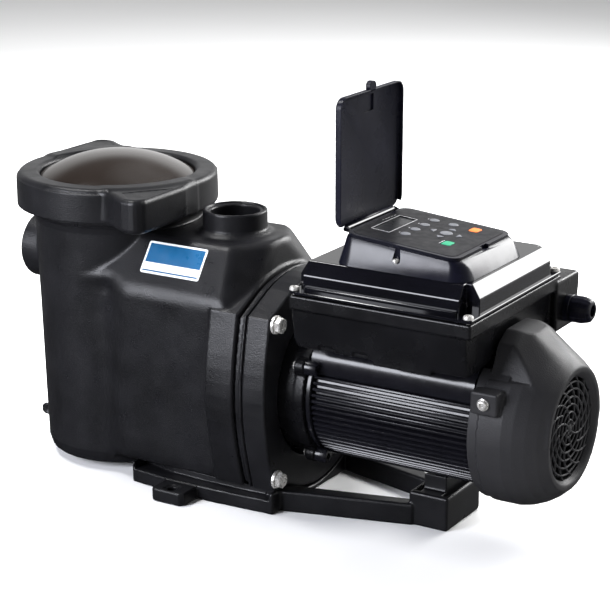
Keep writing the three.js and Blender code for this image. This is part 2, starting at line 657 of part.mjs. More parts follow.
// The cap's plan: a rectangle with a notch at each corner for a screw.
function notchedPlan(x0, x1, w, notch0, notch1) {
  return outline([
    [x0 + notch0, -w], [x1 - notch1, -w], [x1 - notch1, -w + notch1], [x1, -w + notch1], [x1, w - notch1],
    [x1 - notch1, w - notch1], [x1 - notch1, w], [x0 + notch0, w], [x0 + notch0, w - notch0],
    [x0, w - notch0],
    [x0, -w + notch0], [x0 + notch0, -w + notch0],
  ]);
}

function bevelledBlock(x0, x1, w, z0, shoulder, top, bevel) {
  return hull(mirroredY([
    [x0, w, z0], [x1, w, z0], [x0, w, shoulder], [x1, w, shoulder], [x0 + bevel, w - bevel, top],
    [x1 - bevel, w - bevel, top],
  ]));
}

function driveLid() {
  const plate = slabZ(
    roundedRectangle(DRIVE_LEFT, DRIVE_RIGHT, -DRIVE_HALF_WIDTH, DRIVE_HALF_WIDTH, 3),
    LIP_TOP, LIP_TOP + 2.5, 2,
  );
  const cap = common(
    bevelledBlock(CAP_LEFT, CAP_RIGHT, CAP_HALF_WIDTH, LIP_TOP, CAP_SHOULDER_Z, CAP_TOP, CAP_BEVEL),
    slabZ(
      notchedPlan(CAP_LEFT, CAP_RIGHT, CAP_HALF_WIDTH, CAP_NOTCH_LEFT, CAP_NOTCH_RIGHT),
      LIP_TOP - 1, CAP_TOP + 1,
    ),
  );
  const ledgeRight = CAP_RIGHT - CAP_NOTCH_RIGHT - 2;
  const ledge = box(CAP_LEFT + 8, ledgeRight, -CAP_HALF_WIDTH - 3, 0, LIP_TOP + 1, LIP_TOP + 7);
  const inside = bevelledBlock(
    CAP_LEFT + CAP_NOTCH_RIGHT, CAP_RIGHT - CAP_NOTCH_RIGHT - 3, CAP_HALF_WIDTH - 3,
    LIP_TOP - 1, CAP_SHOULDER_Z - 2,
    CAP_TOP - 3, CAP_BEVEL,
  );
  const holes = screwPlaces().map(([x, y]) => rodZ(2.3, LIP_TOP - 1, LIP_TOP + 5, x, y, 8));
  const cableWay = rodZ(14, CAP_TOP - 6, CAP_TOP + 1, 155, PANEL_Y, 20);
  return cut(join(plate, cap, ledge), inside, cableWay, ...holes);
}

function driveGasket() {
  const z0 = LIP_TOP - 0.9;
  const z1 = LIP_TOP - GAP;
  const outer = slabZ(roundedRectangle(64, 228, -86, 86, 4), z0, z1, 2);
  return cut(outer, slabZ(roundedRectangle(68, 224, -82, 82, 3), z0 - 1, z1 + 1, 2));
}

function inverterBoard() {
  const board = box(75, 215, -65, 65, 185, 187);
  const capacitors = [100, 130, 160].map((x) => rodZ(12, 186.5, 218, x, 45, 10));
  const heatsink = box(90, 200, -50, 10, 178, 186);
  const choke = rodZ(16, 186.5, 205, 190, -35, 12);
  const relay = box(85, 110, -55, -35, 186.5, 205);
  return join(board, ...capacitors, heatsink, choke, relay);
}

const drive = group(pump, 0, 0, 0);
piece(drive, "drive_case", driveCase(), castBlack);
piece(drive, "drive_lid", driveLid(), glossBlack);
piece(drive, "drive_gasket", driveGasket(), rubber);
piece(drive, "inverter_board", inverterBoard(), boardGreen);

screwPlaces().forEach(([x, y], i) => {
  const screw = boltX(2, -12, 0, 0, 0, 4.6, 3.4, 12).rotateY(-Math.PI / 2);
  piece(drive, `drive_lid_screw_${i + 1}`, screw, steel).position.set(x, y, LIP_TOP + 2.5 + GAP);
});

// Cable gland: a hex body screwed into the wiring box, and a domed nut over it.
const gland = group(drive, DRIVE_RIGHT + 1.8, GLAND_Y, GLAND_Z);
piece(gland, "gland_body", cut(
  join(rodX(10, -4, 12), rodX(13, GAP, 6, 0, 0, 6), rodX(9.2, 11, 16)),
  rodX(5.5, -5, 17, 0, 0, 12),
), mouldedBlack);
piece(gland, "gland_nut", cut(
  join(rodX(12.8, 6.3, 18, 0, 0, 12), turnedX([[0, 17], [12, 17], [11.5, 22], [8.5, 26], [0, 26]], 16)),
  rodX(10.4, 6, 19), rodX(5.5, 15, 27, 0, 0, 12),
), mouldedBlack);

// ---- control panel ----
const panelTop = (x) => PANEL_Z - (x - PANEL_X) * Math.tan(PANEL_TILT);

// The control panel's body: flared walls under an upright band that the cover closes over, or its inside
// when wall is given.
function panelHull(wall) {
  const w = PANEL_WIDTH / 2 - wall;
  const base = CAP_TOP + GAP - (wall ? 1 : 0);
  const right = PANEL_X + PANEL_LENGTH - wall;
  const placed = (points) => hull(points.map(([x, y, z]) => [x, y + PANEL_Y, z]));
  const under = (drop) => (x) => panelTop(x) - drop;
  const bandFoot = Math.max(wall, PANEL_BAND);
  const walls = placed([
    ...deckPoints(PANEL_X + wall - 0.5, right + 1.2, -w - 1.2, w + 0.8, 10, under(bandFoot)),
    ...deckPoints(96 + wall, 221 - wall, -w - 4, w + 2, 12, () => 263 - wall),
    ...deckPoints(93 + wall, 225 - wall, -w - 9, w + 3, 14, () => base),
  ]);
  if (wall) return walls;
  const band = placed([
    ...deckPoints(PANEL_X, right, -w, w, 10, under(0)),
    ...deckPoints(PANEL_X, right, -w, w, 10, under(PANEL_BAND + 1)),
  ]);
  return join(walls, band);
}

function intoPanel(geometry) {
  return moved(geometry.clone().rotateY(PANEL_TILT), PANEL_X, PANEL_Y, PANEL_Z);
}

const EAR_V = [-44, 44]; // hinge ears along the hinge line
const FACE = { u0: 4, u1: 106.6, v: 50.5, r: 8 };
const PANEL_SCREW_X = 155;
const PANEL_SCREW_Z = 260.5;
const SCREW_WAY_OUT = [4.2, 2]; // how far the front and back screw ways stand out from the top

function panelHousing() {
  const ears = EAR_V.map((v) => {
    const ear = join(
      rodX(2.1, v - 1.5, v + 1.5, 0, 0, 12).rotateZ(Math.PI / 2),
      box(0, 1 - HINGE_U, v - 1.5, v + 1.5, -2.1, 0.4),
    );
    return intoPanel(moved(ear, HINGE_U, 0, HINGE_W));
  });
  const pinHole = intoPanel(moved(rodX(1.5, -60, 60, 0, 0, 10).rotateZ(Math.PI / 2), HINGE_U, 0, HINGE_W));
  const pocket = slabZ(roundedRectangle(FACE.u0, FACE.u1, -FACE.v, FACE.v, FACE.r), -2, 3, 2);
  const well = slabZ(roundedRectangle(FACE.u0 + 4, FACE.u1 - 4, -FACE.v + 4, FACE.v - 4, 5), -12, 3, 1);
  const screwWays = [-1, 1].map((side) => {
    const y = PANEL_Y + side * (PANEL_WIDTH / 2 + SCREW_WAY_OUT[side > 0 ? 1 : 0]);
    const counterbore = rodZ(4, PANEL_SCREW_Z, 290, PANEL_SCREW_X, y, 12);
    return join(counterbore, rodZ(1.9, 245, 290, PANEL_SCREW_X, y, 8));
  });
  const latch = intoPanel(box(PANEL_LENGTH - 2.5, PANEL_LENGTH + 3, -6.5, 6.5, -3.5, 1));
  const solid = join(panelHull(0), ...ears);
  return cut(solid, panelHull(4), intoPanel(pocket), intoPanel(well), ...screwWays, latch, pinHole);
}

// The keys, in the panel's own frame: name, place along the panel, place across it, shape and colour.
const KEYS = [
  ...[34.7, 16.2, -2, -20.3].map((v, i) => [`soft_key_${i + 1}`, 42.6, v, "round", keyGrey]),
  ["soft_key_5", 62, 34.7, "round", keyGrey],
  ["enter_key", 69, 7.2, "centre", keyGrey],
  ["left_key", 55.8, 7.2, "arrow180", keyGrey],
  ["right_key", 82.2, 7.2, "arrow0", keyGrey],
  ["up_key", 69, 20.4, "arrow90", keyGrey],
  ["down_key", 69, -6, "arrow270", keyGrey],
  ["start_key", 84, -18.8, "block", keyGreen],
  ["stop_key", 84, 34.7, "block", keyOrange],
];

function keyShape(kind, grow) {
  if (kind === "round") return new THREE.Shape().absarc(0, 0, 4.8 + grow, 0, 2 * Math.PI);
  if (kind === "centre") return new THREE.Shape().absarc(0, 0, 6 + grow, 0, 2 * Math.PI);
  if (kind === "block") return roundedRectangle(-4.6 - grow, 4.6 + grow, -6 - grow, 6 + grow, 1.5 + grow);
  const turn = rad(Number(kind.slice(5)));
  const corners = [[3.2 + grow * 2, 0], [-2 - grow, 4 + grow * 1.8], [-2 - grow, -4 - grow * 1.8]];
  return outline(corners.map(([u, v]) => [
    u * Math.cos(turn) - v * Math.sin(turn), u * Math.sin(turn) + v * Math.cos(turn),
  ]));
}

const panel = group(drive, PANEL_X, PANEL_Y, PANEL_Z);
panel.rotation.y = PANEL_TILT;

const DISPLAY = { u0: 12.5, u1: 29, v0: -26.3, v1: 24.7 };

function keypadFaceplate() {
  const plate = slabZ(
    roundedRectangle(FACE.u0 + GAP, FACE.u1 - GAP, -FACE.v + GAP, FACE.v - GAP, FACE.r - GAP), -1.7, 0.3, 3,
  );
  const holes = KEYS.map(([, u, v, kind]) => moved(slabZ(keyShape(kind, 0.35), -3, 2, 3), u, v, 0));
  const window = box(DISPLAY.u0, DISPLAY.u1, DISPLAY.v0, DISPLAY.v1, -3, 2);
  return cut(plate, ...holes, window);
}

function displayModule() {
  const glass = box(DISPLAY.u0 + GAP, DISPLAY.u1 - GAP, DISPLAY.v0 + GAP, DISPLAY.v1 - GAP, -3, -0.4);
  return join(glass, box(DISPLAY.u0 - 2, DISPLAY.u1 + 2, DISPLAY.v0 - 2, DISPLAY.v1 + 2, -6, -2.2));
}

piece(drive, "panel_housing", panelHousing(), glossBlack);
piece(panel, "keypad_faceplate", keypadFaceplate(), faceplateBlack);
piece(panel, "display_module", displayModule(), displayGlass);
KEYS.forEach(([name, u, v, kind, finish]) => {
  piece(panel, name, slabZ(keyShape(kind, 0), -3, 0.8, 3), finish).position.set(u, v, 0);
});

const panelScrew = boltX(1.6, -9, 0, 0, 0, 3.2, 2.4, 12).rotateY(-Math.PI / 2);
piece(drive, "panel_screw", panelScrew, steel).position.set(
  PANEL_SCREW_X, PANEL_Y - PANEL_WIDTH / 2 - SCREW_WAY_OUT[0], PANEL_SCREW_Z + GAP,
);

// The hinged cover, drawn closed in a frame at the hinge axis and set upright.
function panelCover() {
  const inside = COVER_INSIDE_W - HINGE_W;
  const rimDepth = 4.2;
  const skin = 2.4;
  const [u0, u1, v] = [1.5, PANEL_LENGTH - HINGE_U + 3, PANEL_WIDTH / 2 + 2.2];
  const tray = slabZ(roundedRectangle(u0, u1, -v, v, 10), inside - rimDepth, inside + skin, 3);
  const hollow = slabZ(roundedRectangle(u0 - 20, u1 - 1.6, -v + 1.6, v - 1.6, 9), inside - 8, inside, 3);
  const heel = box(-20, 8, -v - 1, v + 1, inside - 8, inside);
  const [v0, v1] = EAR_V;
  const barrel = rodX(2.1, v0 + 2, v1 - 2, 0, 0, 12).rotateZ(Math.PI / 2);
  const pin = rodX(1.1, v0 - 1.5, v1 + 1.5, 0, 0, 10).rotateZ(Math.PI / 2);
  const arm = box(-1.5, 3, v0 + 2, v1 - 2, 0, inside + 0.5);
  const latch = slabZ(
    roundedRectangle(u1 - 2.5, u1 + LIFT_TAB_REACH, -LIFT_TAB_HALF, LIFT_TAB_HALF, LIFT_TAB_HALF - 0.1),
    inside - rimDepth + 0.6, inside + 1, 4,
  );
  return join(cut(tray, hollow, heel), barrel, pin, arm, latch);
}

const cover = group(panel, HINGE_U, 0, HINGE_W);
cover.rotation.y = -(Math.PI / 2 + PANEL_TILT);
piece(cover, "panel_cover", panelCover(), glossBlack);

// ---- base frame ----
function baseFrame() {
  const plate = slabZ(outline([
    [-129, -80], [-87, -85], [-30, -85], [PLATE_BACK, -82],
    [PLATE_BACK, 82], [-30, 85], [-87, 85], [-129, 80],
  ]), 0, BASE_PLATE_TOP);
  const tabs = [-1, 1].map((side) => {
    const tab = roundedRectangle(-87, -50, 60, TAB_REACH, 4);
    const slab = slabZ(tab, 0, TAB_HEIGHT, 2);
    return side > 0 ? slab : slab.clone().scale(1, -1, 1);
  });
  const beams = [-1, 1].map((side) => slabZ(outline([
    [20, side * 55], [20, side * 72], [40, side * 68], [155, side * 36], [155, side * 20],
  ]), 0, BASE_PLATE_TOP));
  const block = slabZ(roundedRectangle(150, REAR_BLOCK_RIGHT, -34, 34, 3), 0, REAR_BLOCK_TOP, 2);
  const saddle = box(158, 182, -20, 20, REAR_BLOCK_TOP - 1, 50);
  const body = join(plate, ...tabs, ...beams, block, saddle);
  const tabHoles = [-1, 1].map((side) => rodZ(4.5, -1, TAB_HEIGHT + 1, -68.5, side * 99, 16));
  return cut(
    body,
    rodZ(79.5, -1, 40, POT_X, 0, 28),
    rodX(105, FLANGE_FRONT - 1, PLATE_BACK + 1, 0, SHAFT_Z, 36),
    rodX(MOTOR_R + 1, 140, 200, 0, SHAFT_Z, 24),
    ...tabHoles,
    box(152, 158, -28, 28, REAR_BLOCK_TOP - 12, 60), box(182, 186, -28, 28, REAR_BLOCK_TOP - 12, 60),
  );
}

piece(pump, "base_frame", baseFrame(), mouldedBlack);

export default pump;
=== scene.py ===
"""The looks of a variable-speed pool pump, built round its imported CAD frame.

Moulded parts are signed distance fields with filleted joins, meshed by surface nets. Turned and pressed
parts are lathes and lofts with bevelled edges. Shapes are written in millimetres in the part's own frame
(+X along the shaft towards the fan, +Y the cable gland's side, +Z up), and every mesh is scaled to metres
as it is made.
"""

import json
import math

import bmesh
import bpy
import numpy as np
from mathutils import Matrix, Vector


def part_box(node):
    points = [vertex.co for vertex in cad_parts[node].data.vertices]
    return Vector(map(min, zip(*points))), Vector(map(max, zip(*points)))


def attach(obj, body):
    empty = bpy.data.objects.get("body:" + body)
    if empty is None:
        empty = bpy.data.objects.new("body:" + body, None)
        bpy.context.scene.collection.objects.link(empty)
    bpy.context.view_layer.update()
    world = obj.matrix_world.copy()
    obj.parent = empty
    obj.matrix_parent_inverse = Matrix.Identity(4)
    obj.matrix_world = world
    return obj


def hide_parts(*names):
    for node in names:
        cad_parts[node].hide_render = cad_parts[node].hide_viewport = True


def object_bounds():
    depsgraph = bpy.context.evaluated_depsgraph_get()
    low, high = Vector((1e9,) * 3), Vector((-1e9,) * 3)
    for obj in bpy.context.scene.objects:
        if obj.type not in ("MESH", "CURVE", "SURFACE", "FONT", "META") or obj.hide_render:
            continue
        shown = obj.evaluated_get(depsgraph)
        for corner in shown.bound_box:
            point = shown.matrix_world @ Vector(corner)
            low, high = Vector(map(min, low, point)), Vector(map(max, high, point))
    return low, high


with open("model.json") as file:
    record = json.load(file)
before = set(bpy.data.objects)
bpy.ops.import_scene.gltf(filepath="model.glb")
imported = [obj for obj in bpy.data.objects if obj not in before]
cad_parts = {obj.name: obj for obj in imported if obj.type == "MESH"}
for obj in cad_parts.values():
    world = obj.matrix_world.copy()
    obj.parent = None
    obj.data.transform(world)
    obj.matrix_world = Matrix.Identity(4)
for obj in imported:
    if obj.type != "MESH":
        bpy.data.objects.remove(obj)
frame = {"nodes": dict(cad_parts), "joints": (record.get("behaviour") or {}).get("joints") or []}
CAD_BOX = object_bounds()
MM = 0.001
CAD_LOW, CAD_HIGH = (np.array(corner) / MM for corner in CAD_BOX)
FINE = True
rad = math.radians


# ---- driving places, read from the frame ----
def node_box(name):
    lo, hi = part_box(name)
    return np.array(lo) / MM, np.array(hi) / MM


def node_centre(name):
    lo, hi = node_box(name)
    return (lo + hi) / 2


POT_X = node_centre("clear_lid")[0]
LID_TOP = node_box("clear_lid")[1][2]
RING_LOW, RING_HIGH = node_box("lock_ring")[0][2], node_box("lock_ring")[1][2]
SHAFT_Z = node_centre("motor_shaft")[2]
SUCTION_X = node_box("wet_end_housing")[0][0]
PLATE_BACK = node_box("seal_plate")[1][0]
FRAME_FRONT, FRAME_BACK = node_box("motor_frame")[0][0], node_box("motor_frame")[1][0]
COVER_FRONT = node_box("fan_cover")[0][0]
CAP_TOP = node_box("drive_lid")[1][2]
JOINTS = {j["name"]: j for j in frame["joints"]}
HINGE = np.array(JOINTS["cover_hinge"]["pos_m"]) / MM
PANEL_OUT = -np.array(JOINTS["start_key_press"]["axis"])  # up out of the keypad
PANEL_ALONG = np.array([PANEL_OUT[2], 0.0, -PANEL_OUT[0]])  # along the keypad, down its slope

ALONG_X, ALONG_Y, ALONG_Z = (1, 0, 0), (0, 1, 0), (0, 0, 1)


# ---- distance fields ----
def smin(a, b, k):
    """The union of two fields, with a fillet of about k at the join."""
    h = np.clip(0.5 + 0.5 * (b - a) / k, 0, 1)
    return b + (a - b) * h - k * h * (1 - h)


def smax(a, b, k):
    """The intersection of two fields, with an edge rounded by about k."""
    return -smin(-a, -b, k)


def hollowed(body, k, *hollows):
    """A field with others cut out of it."""
    for hollow in hollows:
        body = smax(body, -hollow, k)
    return body


def polygon(u, v, points):
    """Signed distance to a closed polygon, negative inside."""
    best = np.full(u.shape, 1e9, np.float32)
    inside = np.zeros(u.shape, bool)
    for (x0, y0), (x1, y1) in zip(points, points[1:] + points[:1]):
        ex, ey = x1 - x0, y1 - y0
        wx, wy = u - x0, v - y0
        t = np.clip((wx * ex + wy * ey) / (ex * ex + ey * ey), 0, 1)
        best = np.minimum(best, (wx - ex * t) ** 2 + (wy - ey * t) ** 2)
        if y0 != y1:
            crosses = ((v < y0) != (v < y1)) & (u < (x1 - x0) * (v - y0) / (y1 - y0) + x0)
            inside ^= crosses
    return np.where(inside, -1, 1) * np.sqrt(best)


def prism(flat, along, low, high, fillet):
    """A flat distance extruded from low to high, with rounded edges."""
    slab = np.abs(along - (low + high) / 2) - (high - low) / 2
    a, b = flat + fillet, slab + fillet
    return np.minimum(np.maximum(a, b), 0) + np.hypot(np.maximum(a, 0), np.maximum(b, 0)) - fillet


def block(x, y, z, low, high, fillet):
    """A box with rounded edges between two corners."""
    q = [np.abs(p - (lo + hi) / 2) - (hi - lo) / 2 + fillet for p, lo, hi in zip((x, y, z), low, high)]
    outside = np.sqrt(sum(np.maximum(a, 0) ** 2 for a in q))
    return outside + np.minimum(np.maximum(np.maximum(q[0], q[1]), q[2]), 0) - fillet


def rod_x(x, y, z, radius, x0, x1, cy=0.0, cz=0.0, fillet=0.5):
    return prism(np.hypot(y - cy, z - cz) - radius, x, x0, x1, fillet)


def rod_z(x, y, z, radius, z0, z1, cx=0.0, cy=0.0, fillet=0.5):
    return prism(np.hypot(x - cx, y - cy) - radius, z, z0, z1, fillet)


def hull_planes(points):
    """The outward planes of the convex hull of some points, as (normal, offset)."""
    bm = bmesh.new()
    for p in points:
        bm.verts.new(p)
    bmesh.ops.convex_hull(bm, input=bm.verts)
    bm.normal_update()
    centre = sum((v.co for v in bm.verts), Vector()) / len(bm.verts)
    planes = []
    for f in bm.faces:
        n = f.normal.copy()
        d = n.dot(f.verts[0].co)
        if n.dot(centre) > d:
            n, d = -n, -d
        if not any(n.dot(m) > 0.9995 and abs(d - e) < 0.6 for m, e in planes):
            planes.append((n, d))
    bm.free()
    return planes


def convex(x, y, z, planes, fillet):
    """The space behind every plane, with rounded edges."""
    d = None
    for n, offset in planes:
        side = x * n[0] + y * n[1] + z * n[2] - offset
        d = side if d is None else smax(d, side, fillet)
    return d


def mirrored(points):
    """Points and their twins across the centre plane."""
    return [(x, s * y, z) for x, y, z in points for s in (1, -1)]


# ---- meshing ----
CUBE = [(i, j, k) for i in (0, 1) for j in (0, 1) for k in (0, 1)]
CUBE_EDGES = [(a, b) for a in range(8) for b in range(a + 1, 8) if sum(abs(p - q) for p,
                                                                       q in zip(CUBE[a],
                                                                                CUBE[b])) == 1]
BLOCK = 8
CHUNK = 400000


def evaluate(field, points):
    out = np.empty(len(points), np.float32)
    for i in range(0, len(points), CHUNK):
        p = points[i : i + CHUNK]
        out[i : i + CHUNK] = field(p[:, 0], p[:, 1], p[:, 2])
    return out


def sample(field, low, high, step):
    """The field on a grid, worked out exactly only in the blocks that its surface may cross."""
    low = np.asarray(low, float)
    blocks = np.ceil((np.asarray(high, float) - low) / step / BLOCK).astype(int) + 1
    index = np.stack(np.meshgrid(*[np.arange(n) for n in blocks], indexing="ij"), -1).reshape(-1, 3)
    size = BLOCK * step
    middle = evaluate(field, (low + (index + 0.5) * size).astype(np.float32))
    near = np.abs(middle) < size * 0.87 + 3 * step
    values = np.where(middle > 0, 1e3, -1e3).astype(np.float32)
    grid = np.empty((len(index), BLOCK, BLOCK, BLOCK), np.float32)
    grid[:] = values[:, None, None, None]
    steps = np.arange(BLOCK)
    local = np.stack(np.meshgrid(steps, steps, steps, indexing="ij"), -1).reshape(-1, 3) * step
    corners = (low + index[near] * size)[:, None, :] + local[None]
    grid[near] = evaluate(field, corners.reshape(-1, 3).astype(np.float32)).reshape(-1, BLOCK, BLOCK, BLOCK)
    whole = grid.reshape(*blocks, BLOCK, BLOCK, BLOCK).transpose(0, 3, 1, 4, 2, 5)
    return low, whole.reshape(*(blocks * BLOCK))


def surface_net(field, low, high, step):
    """Vertices and quads of the field's zero surface."""
    low, f = sample(field, low, high, step)
    inside = f < 0
    shape = np.array(f.shape) - 1
    count = np.zeros(shape, np.int8)
    for i, j, k in CUBE:
        count += inside[i : shape[0] + i, j : shape[1] + j, k : shape[2] + k]
    cells = np.argwhere((count > 0) & (count < 8))
    ids = np.full(shape, -1, np.int32)
    ids[tuple(cells.T)] = np.arange(len(cells))
    corner = np.stack([f[cells[:, 0] + i, cells[:, 1] + j, cells[:, 2] + k] for i, j, k in CUBE], 1)
    total = np.zeros((len(cells), 3))
    hits = np.zeros(len(cells))
    for a, b in CUBE_EDGES:
        fa, fb = corner[:, a], corner[:, b]
        cross = (fa < 0) != (fb < 0)
        t = np.where(cross, fa / np.where(cross, fa - fb, 1), 0)
        at = np.array(CUBE[a]) + t[:, None] * (np.array(CUBE[b]) - np.array(CUBE[a]))
        total += np.where(cross[:, None], at, 0)
        hits += cross
    verts = low + (cells + total / hits[:, None]) * step
    quads = []
    for axis in range(3):
        u, v = [(1, 2), (2, 0), (0, 1)][axis]
        a = [slice(1, -1)] * 3
        a[axis] = slice(0, -1)
        b = list(a)
        b[axis] = slice(1, None)
        start, end = inside[tuple(a)], inside[tuple(b)]
        edge = np.argwhere(start != end)
        offset = np.ones(3, int)
        offset[axis] = 0
        edge = edge + offset
        flip = inside[tuple(edge.T)]
        du, dv = np.eye(3, dtype=int)[u], np.eye(3, dtype=int)[v]
        loop = [ids[tuple((edge - m * du - n * dv).T)] for m, n in ((1, 1), (0, 1), (0, 0), (1, 0))]
        loop = np.stack(loop, 1)
        quads.append(np.where(flip[:, None], loop, loop[:, ::-1]))
    return verts, np.concatenate(quads)


def new_object(name, verts, faces, material, smooth=True):
    """A mesh object from vertices in millimetres."""
    mesh = bpy.data.meshes.new(name)
    verts = np.asarray(verts, float) * MM
    mesh.from_pydata(verts.tolist(), [], [tuple(int(i) for i in f) for f in faces])
    mesh.update()
    if smooth:
        mesh.shade_smooth()
    mesh.materials.append(material)
    obj = bpy.data.objects.new(name, mesh)
    bpy.context.scene.collection.objects.link(obj)
    return obj


def settle(obj, node=None, body="pump_body"):
    """Ties a finished piece to its CAD body and the node that it replaces."""
    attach(obj, body)
    if node:
        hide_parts(node)
    return obj


def moulded(name, field, low, high, step, material, node, body="pump_body"):
    """A piece meshed from a field, kept in the CAD's box, with normals taken from the field itself."""
    step = step if FINE else step * 1.8
    verts, quads = surface_net(field, low, high, step)
    verts = np.clip(verts, CAD_LOW, CAD_HIGH)
    reach = 0.35 * step  # either side of a vertex, for the field's slope
    slopes = []
    for e in np.eye(3) * reach:
        ahead, behind = (evaluate(field, (verts + d).astype(np.float32)) for d in (e, -e))
        slopes.append(ahead - behind)
    gradient = np.stack(slopes, 1) / (2 * reach)
    length = np.linalg.norm(gradient, axis=1, keepdims=True)
    gradient = gradient / np.maximum(length, 1e-6)
    obj = new_object(name, verts, quads, material)
    obj.data.normals_split_custom_set_from_vertices(gradient.tolist())
    return settle(obj, node, body)


def shaped(obj, bevel=0.0, angle=32.0, segments=2):
    """Sharp edges marked by angle, with an optional bevel in millimetres."""
    if bevel > 0:
        m = obj.modifiers.new("bevel", "BEVEL")
        m.width = bevel * MM
        m.segments = segments
        m.limit_method = "ANGLE"
        m.angle_limit = rad(angle)
        m.harden_normals = True
    obj.data.set_sharp_from_angle(angle=rad(angle))
    return obj


def loft(name, rows, material, cap_start=True, cap_end=True):
    """Skins closed loops of equal length, and caps the ends with the loops themselves."""
    n = len(rows[0])
    verts = [p for row in rows for p in row]
    faces = []
    for i in range(len(rows) - 1):
        for j in range(n):
            k = (j + 1) % n
            faces.append((i * n + j, i * n + k, (i + 1) * n + k, (i + 1) * n + j))
    if cap_start:
        faces.append(tuple(reversed(range(n))))
    if cap_end:
        faces.append(tuple(range((len(rows) - 1) * n, len(rows) * n)))
    return tidy(new_object(name, verts, faces, material))


def tidy(obj):
    """Merges doubled vertices and turns every face outwards."""
    bm = bmesh.new()
    bm.from_mesh(obj.data)
    bmesh.ops.remove_doubles(bm, verts=bm.verts, dist=1e-6)
    bmesh.ops.recalc_face_normals(bm, faces=bm.faces)
    bm.to_mesh(obj.data)
    bm.free()
    return obj


def discard(obj):
    data = obj.data
    bpy.data.objects.remove(obj)
    bpy.data.meshes.remove(data)


def joined(name, objects):
    """Several objects' meshes in one."""
    bm = bmesh.new()
    materials = []
    for o in objects:
        start = len(bm.faces)
        bm.from_mesh(o.data)
        bm.faces.ensure_lookup_table()
        if o.data.materials[0] not in materials:
            materials.append(o.data.materials[0])
        slot = materials.index(o.data.materials[0])
        for f in bm.faces[start:]:
            f.material_index = slot
    mesh = bpy.data.meshes.new(name)
    bm.to_mesh(mesh)
    bm.free()
    for m in materials:
        mesh.materials.append(m)
    for o in objects:
        discard(o)
    mesh.shade_smooth()
    obj = bpy.data.objects.new(name, mesh)
    bpy.context.scene.collection.objects.link(obj)
    return obj


def polar(radius, degrees, centre=(0, 0)):
    return centre[0] + radius * math.cos(rad(degrees)), centre[1] + radius * math.sin(rad(degrees))


def circle(radius, count, centre=(0, 0)):
    return [polar(radius, 360 * i / count, centre) for i in range(count)]


def place(points, frame_of):
    """Local points carried into the part's frame by a 4 x 4 matrix in millimetres."""
    return [tuple(frame_of @ Vector(p)) for p in points]


def axis_frame(origin, axis, up=(0, 0, 1)):
    """A frame whose +Z lies along axis."""
    z = Vector(axis).normalized()
    x = Vector(up).cross(z)
    if x.length < 1e-6:
        x = Vector((1, 0, 0)).cross(z)
    x.normalize()
    y = z.cross(x)
    m = Matrix((x, y, z)).transposed().to_4x4()
    m.translation = Vector(origin)
    return m


def lathe(name, profile, material, place_at, segments=64, wobble=None, sharp=30.0):
    """A body of revolution about the local Z of place_at, from (radius, height) points that form a closed
    ring or start and end on the axis. wobble(angle) scales the radius."""
    on_axis = abs(profile[0][0]) < 1e-6
    rows = []
    for i in range(segments):
        a = 2 * math.pi * i / segments
        k = wobble(a) if wobble else 1.0
        rows.append([(r * k * math.cos(a), r * k * math.sin(a), h) for r, h in profile])
    n = len(profile)
    verts = [p for row in rows for p in place(row, place_at)]
    faces = []
    last = n - 1 if on_axis else n
    for i in range(segments):
        k = (i + 1) % segments
        for j in range(last):
            m = (j + 1) % n
            faces.append((i * n + j, i * n + m, k * n + m, k * n + j))
    return shaped(tidy(new_object(name, verts, faces, material)), angle=sharp)


def rounded(x0, x1, y0, y1, r, per_corner=8):
    """A rounded rectangle's outline, anticlockwise."""
    r = min(r, (x1 - x0) / 2, (y1 - y0) / 2)
    right, left, near, far = x1 - r, x0 + r, y0 + r, y1 - r
    corners = ((right, near, -90), (right, far, 0), (left, far, 90), (left, near, 180))
    return [polar(r, start + 90 * i / per_corner, (cx, cy)) for cx, cy,
            start in corners for i in range(per_corner + 1)]


def rectangle(x0, x1, y0, y1):
    return [(x0, y0), (x1, y0), (x1, y1), (x0, y1)]


def stacked(plan, levels):
    """Rows of plan(inset), one for each (height, inset)."""
    return [[(x, y, z) for x, y in plan(inset)] for z, inset in levels]


def slab(name, outline, heights, material, frame_of):
    """One outline lofted through several heights of a local frame."""
    return loft(name, [place([(u, v, h) for u, v in outline], frame_of) for h in heights], material)


# ---- materials ----
GRAIN_SIZE, GRAIN_DEPTH = 900.0, 0.0004


def remap(tree, source, start, end, low, high, smooth=False):
    """source, carried from start..end to low..high."""
    n = tree.nodes.new("ShaderNodeMapRange")
    n.interpolation_type = "SMOOTHSTEP" if smooth else "LINEAR"
    for socket, value in (("From Min", start), ("From Max", end), ("To Min", low), ("To Max", high)):
        n.inputs[socket].default_value = value
    tree.links.new(source, n.inputs["Value"])
    return n.outputs["Result"]


